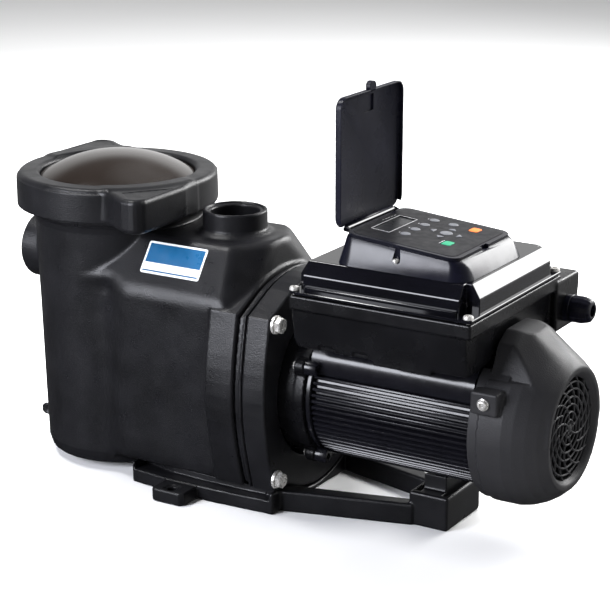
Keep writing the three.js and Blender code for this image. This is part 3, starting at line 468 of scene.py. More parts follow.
def material(name, color, roughness, metallic=0.0, mottle=0.25, mottle_size=28.0, grain=0.04, specular=0.5,
             rough_swing=0.08, veil=0.0, transmission=0.0, streak=1.0):
    """A moulded, cast or turned surface: cloudy colour, uneven gloss and a fine grain. veil is how far a dull
    film hides the gloss, and streak stretches the uneven gloss upwards."""
    m = bpy.data.materials.new(name)
    m.use_nodes = True
    nodes, links = m.node_tree.nodes, m.node_tree.links
    shader = nodes["Principled BSDF"]
    where = nodes.new("ShaderNodeTexCoord").outputs["Object"]

    def noise(scale, detail, stretch=None):
        n = nodes.new("ShaderNodeTexNoise")
        n.inputs["Scale"].default_value = scale
        n.inputs["Detail"].default_value = detail
        source = where
        if stretch:
            mapping = nodes.new("ShaderNodeMapping")
            mapping.inputs["Scale"].default_value = stretch
            links.new(where, mapping.inputs["Vector"])
            source = mapping.outputs["Vector"]
        links.new(source, n.inputs["Vector"])
        return n.outputs["Fac"]

    def spread(source, low, high):
        return remap(m.node_tree, source, 0.3, 0.7, low, high)

    cloud = spread(noise(mottle_size, 5.0), 0, 1)
    clouded = nodes.new("ShaderNodeMix")
    clouded.data_type = "RGBA"
    links.new(cloud, clouded.inputs["Factor"])
    clouded.inputs["A"].default_value = (*(c * (1 - mottle) for c in color), 1)
    clouded.inputs["B"].default_value = (*(min(1, c * (1 + mottle)) for c in color), 1)
    tint = clouded.outputs["Result"]
    links.new(tint, shader.inputs["Base Color"])
    patchy = noise(mottle_size * 2.3, 4.0, (1, 1, streak))
    uneven = spread(patchy, max(0.02, roughness - rough_swing), roughness + rough_swing)
    links.new(uneven, shader.inputs["Roughness"])
    shader.inputs["Metallic"].default_value = metallic
    shader.inputs["Specular IOR Level"].default_value = specular
    shader.inputs["Transmission Weight"].default_value = transmission
    bump = nodes.new("ShaderNodeBump")
    bump.inputs["Strength"].default_value = min(1.0, grain * 6)
    bump.inputs["Distance"].default_value = GRAIN_DEPTH
    links.new(noise(GRAIN_SIZE, 3.0), bump.inputs["Height"])
    links.new(bump.outputs["Normal"], shader.inputs["Normal"])
    if veil > 0:
        film = nodes.new("ShaderNodeBsdfDiffuse")
        links.new(tint, film.inputs["Color"])
        both = nodes.new("ShaderNodeMixShader")
        both.inputs["Fac"].default_value = veil
        links.new(shader.outputs["BSDF"], both.inputs[1])
        links.new(film.outputs["BSDF"], both.inputs[2])
        links.new(both.outputs["Shader"], nodes["Material Output"].inputs["Surface"])
    return m


MOULDED = material("moulded_black", (0.0072, 0.0072, 0.0084), 0.33, mottle=0.3, mottle_size=24, grain=0.10,
                   rough_swing=0.06, specular=0.45, veil=0.4)
GLOSS = material("gloss_black", (0.0024, 0.0024, 0.0040), 0.08, mottle=0.2, mottle_size=30, grain=0.0,
                 rough_swing=0.01, veil=0.25)
COVER_BLACK = material("cover_black", (0.0068, 0.0070, 0.0125), 0.30, mottle=0.25, mottle_size=26, grain=0.05,
                       rough_swing=0.08, veil=0.75)
PANEL_BLACK = material("panel_black", (0.0040, 0.0042, 0.0085), 0.22, mottle=0.2, mottle_size=30, grain=0.01,
                       rough_swing=0.03, veil=0.4)
COVER_GREY = material("cover_grey", (0.0190, 0.0188, 0.0205), 0.45, mottle=0.15, mottle_size=16, grain=0.12,
                      specular=0.3, veil=0.35)
CAST = material("cast_black", (0.0035, 0.0035, 0.0042), 0.3, mottle=0.2, mottle_size=40, grain=0.1, veil=0.65)
CASE_BLACK = material("case_black", (0.0042, 0.0042, 0.0050), 0.24, mottle=0.3, mottle_size=18, grain=0.08,
                      specular=0.45, veil=0.4)
FIN_BLACK = material("fin_black", (0.0050, 0.0050, 0.0070), 0.22, mottle=0.2, mottle_size=60, grain=0.0,
                     veil=0.35, specular=0.6, rough_swing=0.03)
STEEL = material("stainless", (0.66, 0.645, 0.62), 0.28, metallic=1.0, mottle=0.15, mottle_size=150,
                 grain=0.05, veil=0.3)
BASKET = material("basket_plastic", (0.42, 0.40, 0.36), 0.45, mottle=0.08, grain=0.05)
CERAMIC = material("seal_ceramic", (0.7, 0.68, 0.63), 0.25, mottle=0.06)
SMOKED = material("smoked_clear", (0.015, 0.010, 0.0075), 0.16, mottle=0.08, mottle_size=12, grain=0.005,
                  transmission=0.2, rough_swing=0.03)
RUBBER = material("black_rubber", (0.008, 0.008, 0.008), 0.7, mottle=0.2, grain=0.2)
WINDING = material("winding", (0.35, 0.14, 0.05), 0.35, metallic=0.6, mottle=0.3, mottle_size=90, streak=6.0)
BOARD = material("board_green", (0.02, 0.11, 0.05), 0.4, mottle=0.4, mottle_size=180)
FACEPLATE = material("faceplate_black", (0.0065, 0.0065, 0.0085), 0.36, mottle=0.12, mottle_size=60,
                     grain=0.06, veil=0.5)
DISPLAY = material("display_dark", (0.005, 0.006, 0.008), 0.34, mottle=0.1, mottle_size=90, specular=0.3)
KEY_GREY = material("key_grey", (0.135, 0.14, 0.155), 0.5, mottle=0.1, mottle_size=220, grain=0.1)
KEY_GREEN = material("key_green", (0.0, 0.27, 0.13), 0.45, mottle=0.1, mottle_size=220, grain=0.1)
KEY_ORANGE = material("key_orange", (0.9, 0.19, 0.02), 0.45, mottle=0.1, mottle_size=220, grain=0.1)
PRINT = material("print_grey", (0.62, 0.62, 0.64), 0.5, mottle=0.1, mottle_size=300)
LABEL_WHITE = material("label_white", (0.85, 0.87, 0.88), 0.35, mottle=0.03)
LABEL_BLUE = material("label_blue", (0.004, 0.09, 0.22), 0.3, mottle=0.08)

# ---- wet end housing ----
POT_OUTSIDE = [
    (-60, 5), (66, 5), (73, 8.5), (75.9, 19), (77.1, 62), (78.6, 125), (79.3, 157), (80, 177), (81, 223),
    (81.8, 242),
    (83.5, 248), (87, 251.5), (87, 270), (-60, 270),
]
POT_INSIDE = [(-60, 11), (63, 11), (70, 20), (74, 258), (78.2, 258), (78.2, 285), (-60, 285)]
HALF_WIDTH = 84.5
PLATEAU = 243.0
EAVES = 196.0
FLANGE_FRONT, FLANGE_BACK = -33.0, -2.0
SUCTION_Z = 199.0
DISCHARGE_X = -59.0
DISCHARGE_TOP = 265.7
FLANGE_TOE = 21.3  # underside of the flange and of the block
PORT_R, PORT_BORE = 31.0, 23.2
SUCTION_R, SUCTION_BORE = 33.0, 23.8
DRAIN_Z = 20.0
FLANGE_SIDE = [(78.5, 21.3), (88, 55), (94.5, 90), (96, 115), (92.5, 150), (85, 191)]
FLANGE_CURVE = np.polyfit([z for _, z in FLANGE_SIDE], [y for y, _ in FLANGE_SIDE], 4)


def flange_loop(inset):
    """The flange's outline: bulging sides, an arched top, and a foot cut out round the shaft."""
    side = [(float(np.polyval(FLANGE_CURVE, z)), float(z)) for z in np.linspace(FLANGE_TOE, 191, 14)]
    side = [(y - inset, z + (inset if z < 30 else 0) - (inset if z > 180 else 0)) for y, z in side]
    top = [(y, 93 + math.sqrt((125 - inset) ** 2 - y * y)) for y in range(60, -61, -12)]
    bottom = [(y, SHAFT_Z - math.sqrt((103 - inset) ** 2 - y * y)) for y in range(-46, 47, 9)]
    toe = FLANGE_TOE + inset
    return side + top + [(-y, z) for y, z in reversed(side)] + [(-54, toe)] + bottom + [(54, toe)]


def plane_through(a, b, c, outward):
    n = (Vector(b) - Vector(a)).cross(Vector(c) - Vector(a)).normalized()
    if n.dot(Vector(outward)) < 0:
        n = -n
    return n, n.dot(Vector(a))


def roof_planes():
    planes = [(Vector((0, 0, 1)), PLATEAU)]
    for s in (1, -1):
        planes.append(plane_through((0, s * 50, PLATEAU), (-100, s * 50, PLATEAU), (0, s * 84, EAVES),
                                    (0, s, 1)))
        planes.append(plane_through((-30, s * 50, PLATEAU), (-7, s * 12, PLATEAU), (-20, s * 85, 197),
                                    (1, 0, 1)))
    planes.append(plane_through((-7, 12, PLATEAU), (-7, -12, PLATEAU), (-3, 0, 217), (1, 0, 0)))
    return planes


ROOF = roof_planes()
CHEST = [(Vector((0, 0, -1)), -FLANGE_TOE), (Vector((1, 0, 0)), FLANGE_BACK)]
for s in (1, -1):
    CHEST.append((Vector((0, s, 0)), HALF_WIDTH))
    CHEST.append(plane_through((0, s * HALF_WIDTH, 110), (-100, s * HALF_WIDTH, 110),
                               (0, s * 79.5, FLANGE_TOE), (0, s,
                                                           0)))
    CHEST.append(plane_through((-140, s * HALF_WIDTH, 0), (-140, s * HALF_WIDTH, 100), (-160, s * 70, 0),
                               (-1, s, 0)))
OVERHANG = [(Vector((1, 0, 0)), FLANGE_BACK), (Vector((-1, 0, 0)), 186)]
for s in (1, -1):
    OVERHANG.append(plane_through((-186, s * 77.5, 0), (-20, s * HALF_WIDTH, 0), (-20, s * HALF_WIDTH, 50),
                                  (0, s, 0)))
    OVERHANG.append(plane_through((-186, s * 78, 201), (-20, s * 84, 195), (-20, s * 70, 178), (0, s, -1)))
FLANGE_LOOP = flange_loop(0.0)


def wet_end(x, y, z):
    r = np.hypot(x - POT_X, y)
    pot = polygon(r, z, POT_OUTSIDE)
    trunk = smin(convex(x, y, z, CHEST, 9), convex(x, y, z, OVERHANG, 5), 4)
    trunk = smax(trunk, convex(x, y, z, ROOF, 6), 6)
    # the pot meets the roof in a crease, and the chest below it in a soft valley
    body = smin(trunk, pot, 2.5 + 11 * np.clip((206 - z) / 24, 0, 1))
    flange = prism(polygon(y, z, FLANGE_LOOP), x, FLANGE_FRONT, FLANGE_BACK, 2.5)
    body = smin(body, flange, 3)
    discharge = rod_z(x, y, z, PORT_R, PLATEAU - 25, DISCHARGE_TOP, DISCHARGE_X, 0, 2.2)
    collar = rod_z(x, y, z, 34.5, PLATEAU - 25, PLATEAU + 3, DISCHARGE_X, 0, 3)
    body = smin(body, smin(discharge, collar, 3), 6)
    suction = rod_x(x, y, z, SUCTION_R, SUCTION_X, POT_X - 55, 0, SUCTION_Z, 2.2)
    body = smin(body, suction, 6)
    boss = rod_x(x, y, z, 13, POT_X - 86, POT_X - 60, 0, DRAIN_Z, 2)
    body = smin(body, boss, 4)
    # the parting line of the mould runs down the front and the back of the pot and along the block
    seam = np.maximum(np.maximum(np.abs(y) - 0.5, pot - 0.35), np.maximum(z - 240, x - POT_X))
    body = smin(body, seam, 0.8)
    cavity = polygon(r, z, POT_INSIDE)
    bore = rod_x(x, y, z, SUCTION_BORE, SUCTION_X - 5, POT_X - 60, 0, SUCTION_Z, 0.2)
    mouth = rod_x(x, y, z, 27.5, SUCTION_X - 5, SUCTION_X + 2.5, 0, SUCTION_Z, 0.2)
    outlet = rod_z(x, y, z, PORT_BORE, SHAFT_Z + 40, DISCHARGE_TOP + 5, DISCHARGE_X, 0, 0.2)
    rim = rod_z(x, y, z, 26.8, DISCHARGE_TOP - 2.2, DISCHARGE_TOP + 5, DISCHARGE_X, 0, 0.2)
    volute = rod_x(x, y, z, 72.5, -78, FLANGE_BACK + 5, 0, SHAFT_Z, 3)
    drain = rod_x(x, y, z, 6.5, POT_X - 90, POT_X - 60, 0, DRAIN_Z, 0.1)
    return hollowed(body, 1.2, cavity, bore, mouth, outlet, rim, volute, drain)


moulded("wet_end_shell", wet_end, (-300, -100, 0), (2, 100, 272), 1.9, MOULDED,
        "wet_end_housing")

# ---- lock ring ----
RING_R, RING_INSIDE, RING_HOLE = 97.6, 88.8, 75.9
EAR = [(60, 0), (96.5, -8), (101, -30), (101, -93)]
EAR += [polar(12, a, (89, -93)) for a in range(-10, -91, -20)]
EAR += [(80, -104), (64, -94), (54, -89), (46, -85), (20, -60)]
EAR_FLAT = [(96, -45), (97, -90), (84, -99), (66, -84)]


def lock_ring(x, y, z):
    u, v = x - POT_X, y
    r = np.hypot(u, v)
    drum = prism(r - RING_R - 0.8 * (RING_HIGH - z) / (RING_HIGH - RING_LOW), z, RING_LOW, RING_HIGH, 5.5)
    for s, band_start in ((1, -175), (-1, -138)):
        ear = prism(polygon(s * u, s * v, EAR), z, RING_LOW, RING_HIGH - 0.5, 5)
        drum = smin(drum, ear, 7)
        # a raised grip band that ends beside each ear
        angle = np.degrees(np.arctan2(s * v, s * u))
        band = prism(r - RING_R - 1.2, z, RING_LOW + 0.5, RING_HIGH - 4.5, 1)
        band = smax(band, np.maximum(angle + 62, band_start - angle) * 1.7, 1)
        drum = np.minimum(drum, band)
        # a shallow three-cornered flat on top of the ear
        flat = prism(polygon(s * u, s * v, EAR_FLAT), z, RING_HIGH - 1.3, RING_HIGH + 3, 0.3)
        drum = smax(drum, -flat, 1)
    inner = prism(r - RING_INSIDE, z, RING_LOW - 5, RING_LOW + 23.5, 0.3)
    hole = prism(r - RING_HOLE - np.maximum(z - RING_HIGH + 3, 0), z, RING_LOW - 5, RING_HIGH + 5, 0.1)
    return smax(smax(drum, -inner, 0.8), -hole, 1.6)


moulded("lock_ring_grip", lock_ring, (POT_X - 115, -112, RING_LOW - 3), (POT_X + 115, 112, RING_HIGH + 3),
        1.5,
        MOULDED, "lock_ring", "ring")

# ---- clear lid, its seal and the basket under it ----
up_from_pot = axis_frame((POT_X, 0, 0), ALONG_Z)
DOME_R, DOME_RISE, LID_WALL = 75.0, 22.0, 4.0
DOME_FOOT = LID_TOP - DOME_RISE
SPHERE_R = (DOME_R**2 + DOME_RISE**2) / (2 * DOME_RISE)


def dome(radius, sphere, count=20):
    """A spherical cap's profile, from its rim to the axis."""
    centre = LID_TOP - SPHERE_R
    radii = [radius * (1 - i / count) for i in range(count + 1)]
    return [(r, centre + math.sqrt(sphere**2 - r**2)) for r in radii]


lid_profile = [(DOME_R, DOME_FOOT - 5), (86.4, DOME_FOOT - 5.6), (86.4, DOME_FOOT - 10.5),
               (DOME_R - LID_WALL, DOME_FOOT - 10.5)]
lid_rows = dome(DOME_R, SPHERE_R)[::-1] + lid_profile + dome(DOME_R - LID_WALL, SPHERE_R - LID_WALL)
lid = lathe("lid_dome", lid_rows, SMOKED, up_from_pot, 96 if FINE else 48)
settle(lid, "clear_lid", "lid")
seal_profile = circle(1.2, 12, (82, node_centre("lid_o_ring")[2]))
settle(lathe("lid_seal", seal_profile, RUBBER, up_from_pot, 96), "lid_o_ring", "lid")


def basket():
    """A tapered cup pierced by rows of slots between ribs, with a rim and a bail."""
    columns, levels = 96, 30
    low, high = 24.0, 250.0
    foot_r, flare = 59, 9.6
    floor_radii = (foot_r, 48, 36, 24, 12)
    rings = [(foot_r + flare * j / levels, low + (high - low) * j / levels) for j in range(levels + 1)]
    rings += [(r, low) for r in floor_radii]
    verts = [(u, v, z) for r, z in rings for u, v in circle(r, columns, (POT_X, 0))]
    faces = []

    def span(ring, is_slot):
        start = ring * columns
        for i in range(columns):
            if not is_slot(i):
                k = (i + 1) % columns
                faces.append((start + i, start + k, start + columns + k, start + columns + i))

    for j in range(levels):
        span(j, lambda i: i % 4 in (1, 2) and j % 5 in (1, 2, 3))
    for s in range(len(floor_radii) - 1):
        span(levels + 1 + s, lambda i: s in (0, 2) and i % 6 in (2, 3, 4))
    faces.append(tuple((len(rings) - 1) * columns + i for i in range(columns)))
    cup = tidy(new_object("basket_cup", verts, faces, BASKET))
    skin = cup.modifiers.new("wall", "SOLIDIFY")
    skin.thickness = 2.2 * MM
    skin.offset = -1
    settle(cup, "strainer_basket", "basket")
    rim_profile = [(67, 249), (69.3, 249), (70, 258.4), (77.2, 258.4), (77.2, 261), (67, 261)]
    settle(lathe("basket_rim", rim_profile, BASKET, up_from_pot, 72), body="basket")


def bail():
    """The basket's handle: a flat strap along half an ellipse."""
    half_span, rise, foot_z = 71, 26, 259
    section = [(5 * u, 1.7 * v) for u, v in circle(1, 12)]
    rows = []
    for i in range(25):
        a = math.pi * i / 24
        y, z = half_span * math.cos(a), foot_z + rise * math.sin(a)
        out = Vector((0, math.cos(a) / half_span, math.sin(a) / rise)).normalized()
        rows.append([(POT_X + p, y + q * out.y, z + q * out.z) for p, q in section])
    settle(shaped(loft("basket_bail", rows, BASKET), angle=50), body="basket")


basket()
bail()


# ---- drain plug ----
def drain_plug(x, y, z):
    u = x - POT_X
    w = z - DRAIN_Z
    head = rod_x(u, y, w, 10, -90.5, -86.4, 0, 0, 1.2)
    grooves = 0.5 * np.cos(14 * np.arctan2(w, y))
    head = head - np.where(np.hypot(y, w) > 7, grooves, 0) * 0.8
    shank = rod_x(u, y, w, 6, -89, -66, 0, 0, 0.5)
    wing = prism(polygon(u, w, [(-89, -6), (-102, -6), (-105.6, -3), (-105.6, 3), (-102, 6), (-89, 6)]), y,
                 -2, 2, 1.4)
    dish = np.hypot(np.hypot(u + 97, w), (np.abs(y) - 9)) - 8.3
    return smin(smin(head, shank, 1), smax(wing, -dish, 0.8), 2.5)


moulded("drain_plug_wing", drain_plug, (POT_X - 108, -12, 7), (POT_X - 64, 12, 33), 0.7, MOULDED,
        "drain_plug", "drain")

# ---- seal plate ----
SEAM_LOOP = flange_loop(3.5)


def seal_plate(x, y, z):
    plate = prism(polygon(y, z, FLANGE_LOOP), x, 4, PLATE_BACK, 2.2)
    band = prism(polygon(y, z, SEAM_LOOP), x, -1.7, 6, 0.4)
    groove = prism(np.abs(polygon(y, z, FLANGE_LOOP) + 1.2) - 1.6, x, 7.6, 9.2, 0.2)
    body = np.minimum(smax(plate, -groove, 0.5), band)
    spigot = rod_x(x, y, z, 71, -12, 6, 0, SHAFT_Z, 1)
    recess = rod_x(x, y, z, 71.8, 10, PLATE_BACK + 5, 0, SHAFT_Z, 2)
    way = rod_x(x, y, z, 17, -20, 12, 0, SHAFT_Z, 0.5)
    front = rod_x(x, y, z, 62, -20, -4, 0, SHAFT_Z, 1)
    return hollowed(np.minimum(body, spigot), 1, recess, way, front)


moulded("seal_plate_shell", seal_plate, (-14, -100, 4), (PLATE_BACK + 3, 100, 222), 1.7, MOULDED,
        "seal_plate")


# ---- bolts and screws ----
def hexagon(a):
    """Radius of a hexagon with its flats one unit from the centre, by angle."""
    return 1 / math.cos((a + math.pi / 6) % (math.pi / 3) - math.pi / 6)


def headed(name, levels, count, outline, place_at, sharp):
    """A fastener's head lofted through (radius, height) levels, with outline(radius, angle) round each."""
    rows = []
    for r, h in levels:
        loop = []
        for i in range(count):
            a = 2 * math.pi * i / count
            k = outline(r, a)
            loop.append((r * k * math.cos(a), r * k * math.sin(a), h))
        rows.append(place(loop, place_at))
    return shaped(loft(name, rows, STEEL), angle=sharp)


def hex_bolt(name, place_at, flats, high, washer_r, t, shank_r, shank_long):
    """A hexagon head on a collar and a washer of thickness t."""
    washer_rows = [(0, 0), (washer_r - 0.5, 0), (washer_r, 0.4), (washer_r, t - 0.5), (washer_r - 0.7, t),
                   (0, t)]
    washer = lathe(name + "_washer", washer_rows, STEEL, place_at, 40)
    collar_rows = [(0, t), (flats * 0.98, t), (flats * 0.98, t + 0.7), (0, t + 0.7)]
    collar = lathe(name + "_ring", collar_rows, STEEL, place_at, 36)
    top = t + high
    levels = ((flats, t + 0.7), (flats, top - 1), (flats * 0.9, top), (flats * 0.45, top),
              (flats * 0.4, top - 0.4))
    head = headed(name + "_hex", levels, 36, lambda r, a: hexagon(a) if r == flats else 1.04, place_at, 25)
    shank_rows = [(0, -shank_long), (shank_r, -shank_long + 1), (shank_r, 0.5), (0, 0.5)]
    return joined(name, [washer, collar, head, lathe(name + "_shank", shank_rows, STEEL, place_at, 24)])


def cross_screw(name, place_at, radius, high, shank_r, shank_long, washer_r=0.0, t=0.0):
    """A domed head with a cross recess, on a washer of thickness t if it has one."""
    parts = []
    if washer_r:
        washer_rows = [(0, 0), (washer_r, 0), (washer_r, t * 0.8), (washer_r - 0.4, t), (0, t)]
        parts.append(lathe(name + "_washer", washer_rows, STEEL, place_at, 32))
    recess = (radius * 0.46, t + high - high * 0.5)
    levels = ((radius, t), (radius, t + high * 0.55), (radius * 0.86, t + high * 0.9),
              (radius * 0.6, t + high),
              (radius * 0.5, t + high), recess)

    def cross(r, a):
        return 0.55 + 0.45 * abs(math.cos(2 * a)) if r == recess[0] else 1.0

    parts.append(headed(name + "_head", levels, 32, cross, place_at, 35))
    shank_rows = [(0, -shank_long), (shank_r, -shank_long + 0.6), (shank_r, 0.3 + t), (0, 0.3 + t)]
    parts.append(lathe(name + "_shank", shank_rows, STEEL, place_at, 16))
    return joined(name, parts)


def seat(node, axis, **moved):
    """Where a fastener's head sits: its node's centre with some coordinates changed, facing along axis."""
    at = dict(zip("xyz", node_centre(node))) | moved
    return axis_frame((at["x"], at["y"], at["z"]), axis)


for i in range(1, 5):
    node = f"flange_bolt_{i}"
    at = seat(node, ALONG_X, x=PLATE_BACK + 0.3)
    settle(hex_bolt(f"hex_bolt_{i}", at, 6.6, 5.8, 8.5, 3.0, 3.9, 24), node)
for i in range(1, 5):
    node = f"end_bell_screw_{i}"
    settle(cross_screw(f"bell_screw_{i}", seat(node, (-1, 0, 0), x=47.7), 4.1, 3.4, 2.3, 19),
           node)
for i in range(1, 3):
    node = f"fan_cover_screw_{i}"
    side = -1 if node_centre(node)[1] < 0 else 1
    at = seat(node, (0, side, 0), y=side * 75.8)
    settle(cross_screw(f"cover_screw_{i}", at, 4.3, 2.9, 2.3, 11.5, 5.5, 1.2), node)
for i in range(1, 5):
    node = f"drive_lid_screw_{i}"
    at = seat(node, ALONG_Z, z=node_box(node)[1][2] - 3.4)
    settle(cross_screw(f"lid_screw_{i}", at, 4.5, 3.3, 1.9, 11.5), node)
at = seat("panel_screw", ALONG_Z, z=node_box("panel_screw")[1][2] - 2.4)
settle(cross_screw("panel_screw_head", at, 3.1, 2.3, 1.5, 2.5), "panel_screw")

# ---- motor ----
along_shaft = axis_frame((0, 0, SHAFT_Z), ALONG_X)
LUGS = [polar(70.5, a) for a in (29, 151, -127, -53)]
SADDLE = 61.5  # flat top of the frame above the shaft
FIN_ROOT, FIN_TIP, FIN_STEP = 59.0, 64.3, 5.2


def end_bell(x, y, z):
    w = z - SHAFT_Z
    r = np.hypot(y, w)
    shell = polygon(r, x, [(-60, 34), (62, 34), (62, 14), (66, 14), (69.5, 27), (69.5, 47), (70, 49.5),
                           (70, 58), (-60, 58)])
    for ly, lz in LUGS:
        shell = smin(shell, rod_x(x, y, w, 7.5, 47.9, 58, ly, lz, 1), 2.5)
    hollow = polygon(r, x, [(25, 40), (61, 40), (61, 70), (-60, 70), (-60, 38), (20.4, 38), (20.4, 52),
                            (25, 52)])
    shell = smax(shell, -hollow, 0.6)
    shell = smax(shell, -rod_x(x, y, w, 9.8, 20, 45), 0.4)
    return smax(shell, -np.maximum(SADDLE + 1.5 - w, 55.8 - x), 0.4)


moulded("end_bell_casting", end_bell, (12, -82, 26), (60, 82, 188), 1.5, CAST, "drive_end_bell")


def motor_section(high):
    """The finned section about the shaft, fins rounded at their tips; high scales the fins' reach."""
    reach = FIN_ROOT + (FIN_TIP - FIN_ROOT) * high
    fin = [(-1.7, FIN_ROOT), (-1.3, reach - 0.8), (-1.0, reach - 0.2), (-0.4, reach)]
    fin += [(-off, r) for off, r in reversed(fin)]
    loop = []
    a = -206 + FIN_STEP / 2
    while a < 26:
        loop += [polar(r, a + off) for off, r in fin]
        a += FIN_STEP
    shoulder = [(57.2, 27.5), (58.5, 30), (58.5, 43), (56.5, 47.5), (47.5, 59), (43, SADDLE)]
    return loop + shoulder + [(-y, z) for y, z in reversed(shoulder)]


def motor_frame():
    ends = ((61, 0.0), (63.5, 0.85), (65, 1.0), (FRAME_BACK - 3, 1.0), (FRAME_BACK - 1.5, 0.9),
            (FRAME_BACK, 0.5))
    rows = [[(x, y, SHAFT_Z + w) for y, w in motor_section(high)] for x, high in ends]
    parts = [shaped(loft("fins", rows, FIN_BLACK), angle=38)]
    collar = [(57, FRAME_FRONT), (65.4, FRAME_FRONT), (66, FRAME_FRONT + 0.7), (66, 62.4), (65.3, 63),
              (57, 63)]
    parts.append(lathe("fin_collar", collar, FIN_BLACK, along_shaft, 96))
    lug = [(2.9, 0), (6.5, 0), (7, 0.6), (7, 9.5), (6, 11.7), (2.9, 11.7)]
    for i, (y, w) in enumerate(LUGS):
        at = axis_frame((FRAME_FRONT, y, SHAFT_Z + w), ALONG_X)
        parts.append(lathe(f"lug_{i}", lug, FIN_BLACK, at, 32))
    whole = joined("motor_frame_fins", parts)
    whole.data.set_sharp_from_angle(angle=rad(34))
    # nothing of the frame stands above its saddle
    top = (SHAFT_Z + SADDLE) * MM
    for v in whole.data.vertices:
        v.co.z = min(v.co.z, top)
    settle(whole, "motor_frame")


motor_frame()


# ---- fan cover ----
FACET = plane_through((240.6, -37, 79), (252, -37, 78), (244.6, -50, 51), (0, -1, 0.5))
LEDGE = 52.0  # above the shaft, where the hump's cut-back flanks end
COVER_WALL = 3.0
COVER_END = 296.8
MOUTH_RIM = [(COVER_END, *polar(57, a)) for a in range(0, 90, 12)]
HUMP_PLANES = hull_planes(mirrored([
    (200, 37, 80.5), (253, 37, 79.5), (200, 20, 89.5), (250, 20, 89), (262, 15, 86), (200, 62, 30), (200, 60,
                                                                                                     -10),
    (276, 49, 53),
] + MOUTH_RIM))
BARREL = [(200, -60), (200, 75), (260, 75), (270, 72.8), (280, 68.6), (289, 62.8), (COVER_END, 55.5),
          (COVER_END, -60)]
BARREL_INSIDE = [(200, -60), (200, 70.5), (255, 71), (268, 68), (277, 64.4), (285, 59.5), (290, 54),
                 (290, -60)]
COVER_MOUTH = [(-60, 285), (45.5, 285), (46.5, 291.5), (48.5, 294.5), (51.5, 297.5), (56, 302), (-60, 302)]


def fan_cover(x, y, z):
    w = z - SHAFT_Z
    r = np.hypot(y, w)
    hump = convex(x, y, w, HUMP_PLANES, 1.2)
    shell = smin(polygon(x, r, BARREL), hump, 2)
    # the flanks of the hump are cut back beside the drive, down to a ledge
    n, offset = FACET
    flank = x * n[0] + np.abs(y) * abs(n[1]) + w * n[2] - offset
    notch = np.maximum(np.maximum(-flank, LEDGE - w), x - 274)
    shell = smax(shell, -notch, 1.6)
    shell = np.maximum(shell, COVER_FRONT + 10 - x)
    shell = np.minimum(shell, rod_x(x, y, w, 73.4, COVER_FRONT, 256, 0, 0, 1))
    for s in (1, -1):
        lug = block(x, s * y, w, (230.4, 60, 26), (256.6, 75.5, 47), 2)
        shell = smin(shell, lug, 1.6)
    hollow = np.minimum(polygon(x, r, BARREL_INSIDE), np.maximum(hump + COVER_WALL + 1, x - 288))
    hollow = smax(hollow, COVER_WALL - notch, 1)
    return hollowed(smax(shell, -hollow, 0.6), 1.0, polygon(r, x, COVER_MOUTH))


moulded("fan_cover_shell", fan_cover, (COVER_FRONT - 2, -82, 30), (300, 82, 200), 1.6, COVER_GREY,
        "fan_cover")
GRILLE_X = 291.2
RING_RADII = (8, 15, 22, 29, 36, 42.5)
SPOKES, SPOKE_END = 16, 47


def swept(name, path, radius_x, radius_out, closed=False):
    """A bar of the grille along (y, height above the shaft) points."""
    rows = []
    n = len(path)
    for i, (y, w) in enumerate(path):
        after, before = (i + 1, i - 1) if closed else (min(i + 1, n - 1), max(i - 1, 0))
        a, b = path[after % n], path[before]
        ty, tw = a[0] - b[0], a[1] - b[1]
        k = math.hypot(ty, tw)
        section = [(radius_x * u, radius_out * v / k) for u, v in circle(1, 8)]
        rows.append([(GRILLE_X + u, y - tw * v, SHAFT_Z + w + ty * v) for u, v in section])
    if closed:
        rows.append(rows[0])
    return loft(name, rows, COVER_GREY, not closed, not closed)


def grille():
    """Rings and curved spokes round a hub; every other spoke starts further out."""
    bars = [swept("ring", circle(r, 72), 1.3, 1.05, True) for r in RING_RADII]
    for s in range(SPOKES):
        start = 3 if s % 2 == 0 else 22
        path = []
        for i in range(13):
            r = start + (SPOKE_END - start) * i / 12
            a = 2 * math.pi * s / SPOKES + 0.9 * (r / 45) ** 1.3
            path.append((r * math.cos(a), r * math.sin(a)))
        bars.append(swept("spoke", path, 1.4, 1.1))
    x = GRILLE_X
    hub = [(0, x - 1.5), (4, x - 1.5), (4.2, x + 0.8), (3, x + 1.6), (0, x + 1.8)]
    bars.append(lathe("hub", hub, COVER_GREY, along_shaft, 32))
    settle(joined("fan_grille", bars))


grille()


# ---- drive case ----
LIP_LOW, LIP_HIGH = 207.4, 221.0
DRIVE_LEFT, DRIVE_RIGHT, DRIVE_HALF = 57.6, 238.2, 93.0
CASE_PLANES = hull_planes(mirrored([
    (DRIVE_LEFT, 90, 220), (232.2, 90, 220), (DRIVE_LEFT, 90, LIP_LOW), (232.2, 90, LIP_LOW),
    (DRIVE_LEFT, 84, 175.5), (62, 84, 170), (232.2, 84, 170),
]))
WIRING_SECTION = [(80, 217), (130, 217), (131, 205), (124, 168), (80, 168)]
WIRING_PLANES = hull_planes([(x, y, z) for x in (150, 240) for y, z in WIRING_SECTION])
GLAND_Y, GLAND_Z = 104, 187


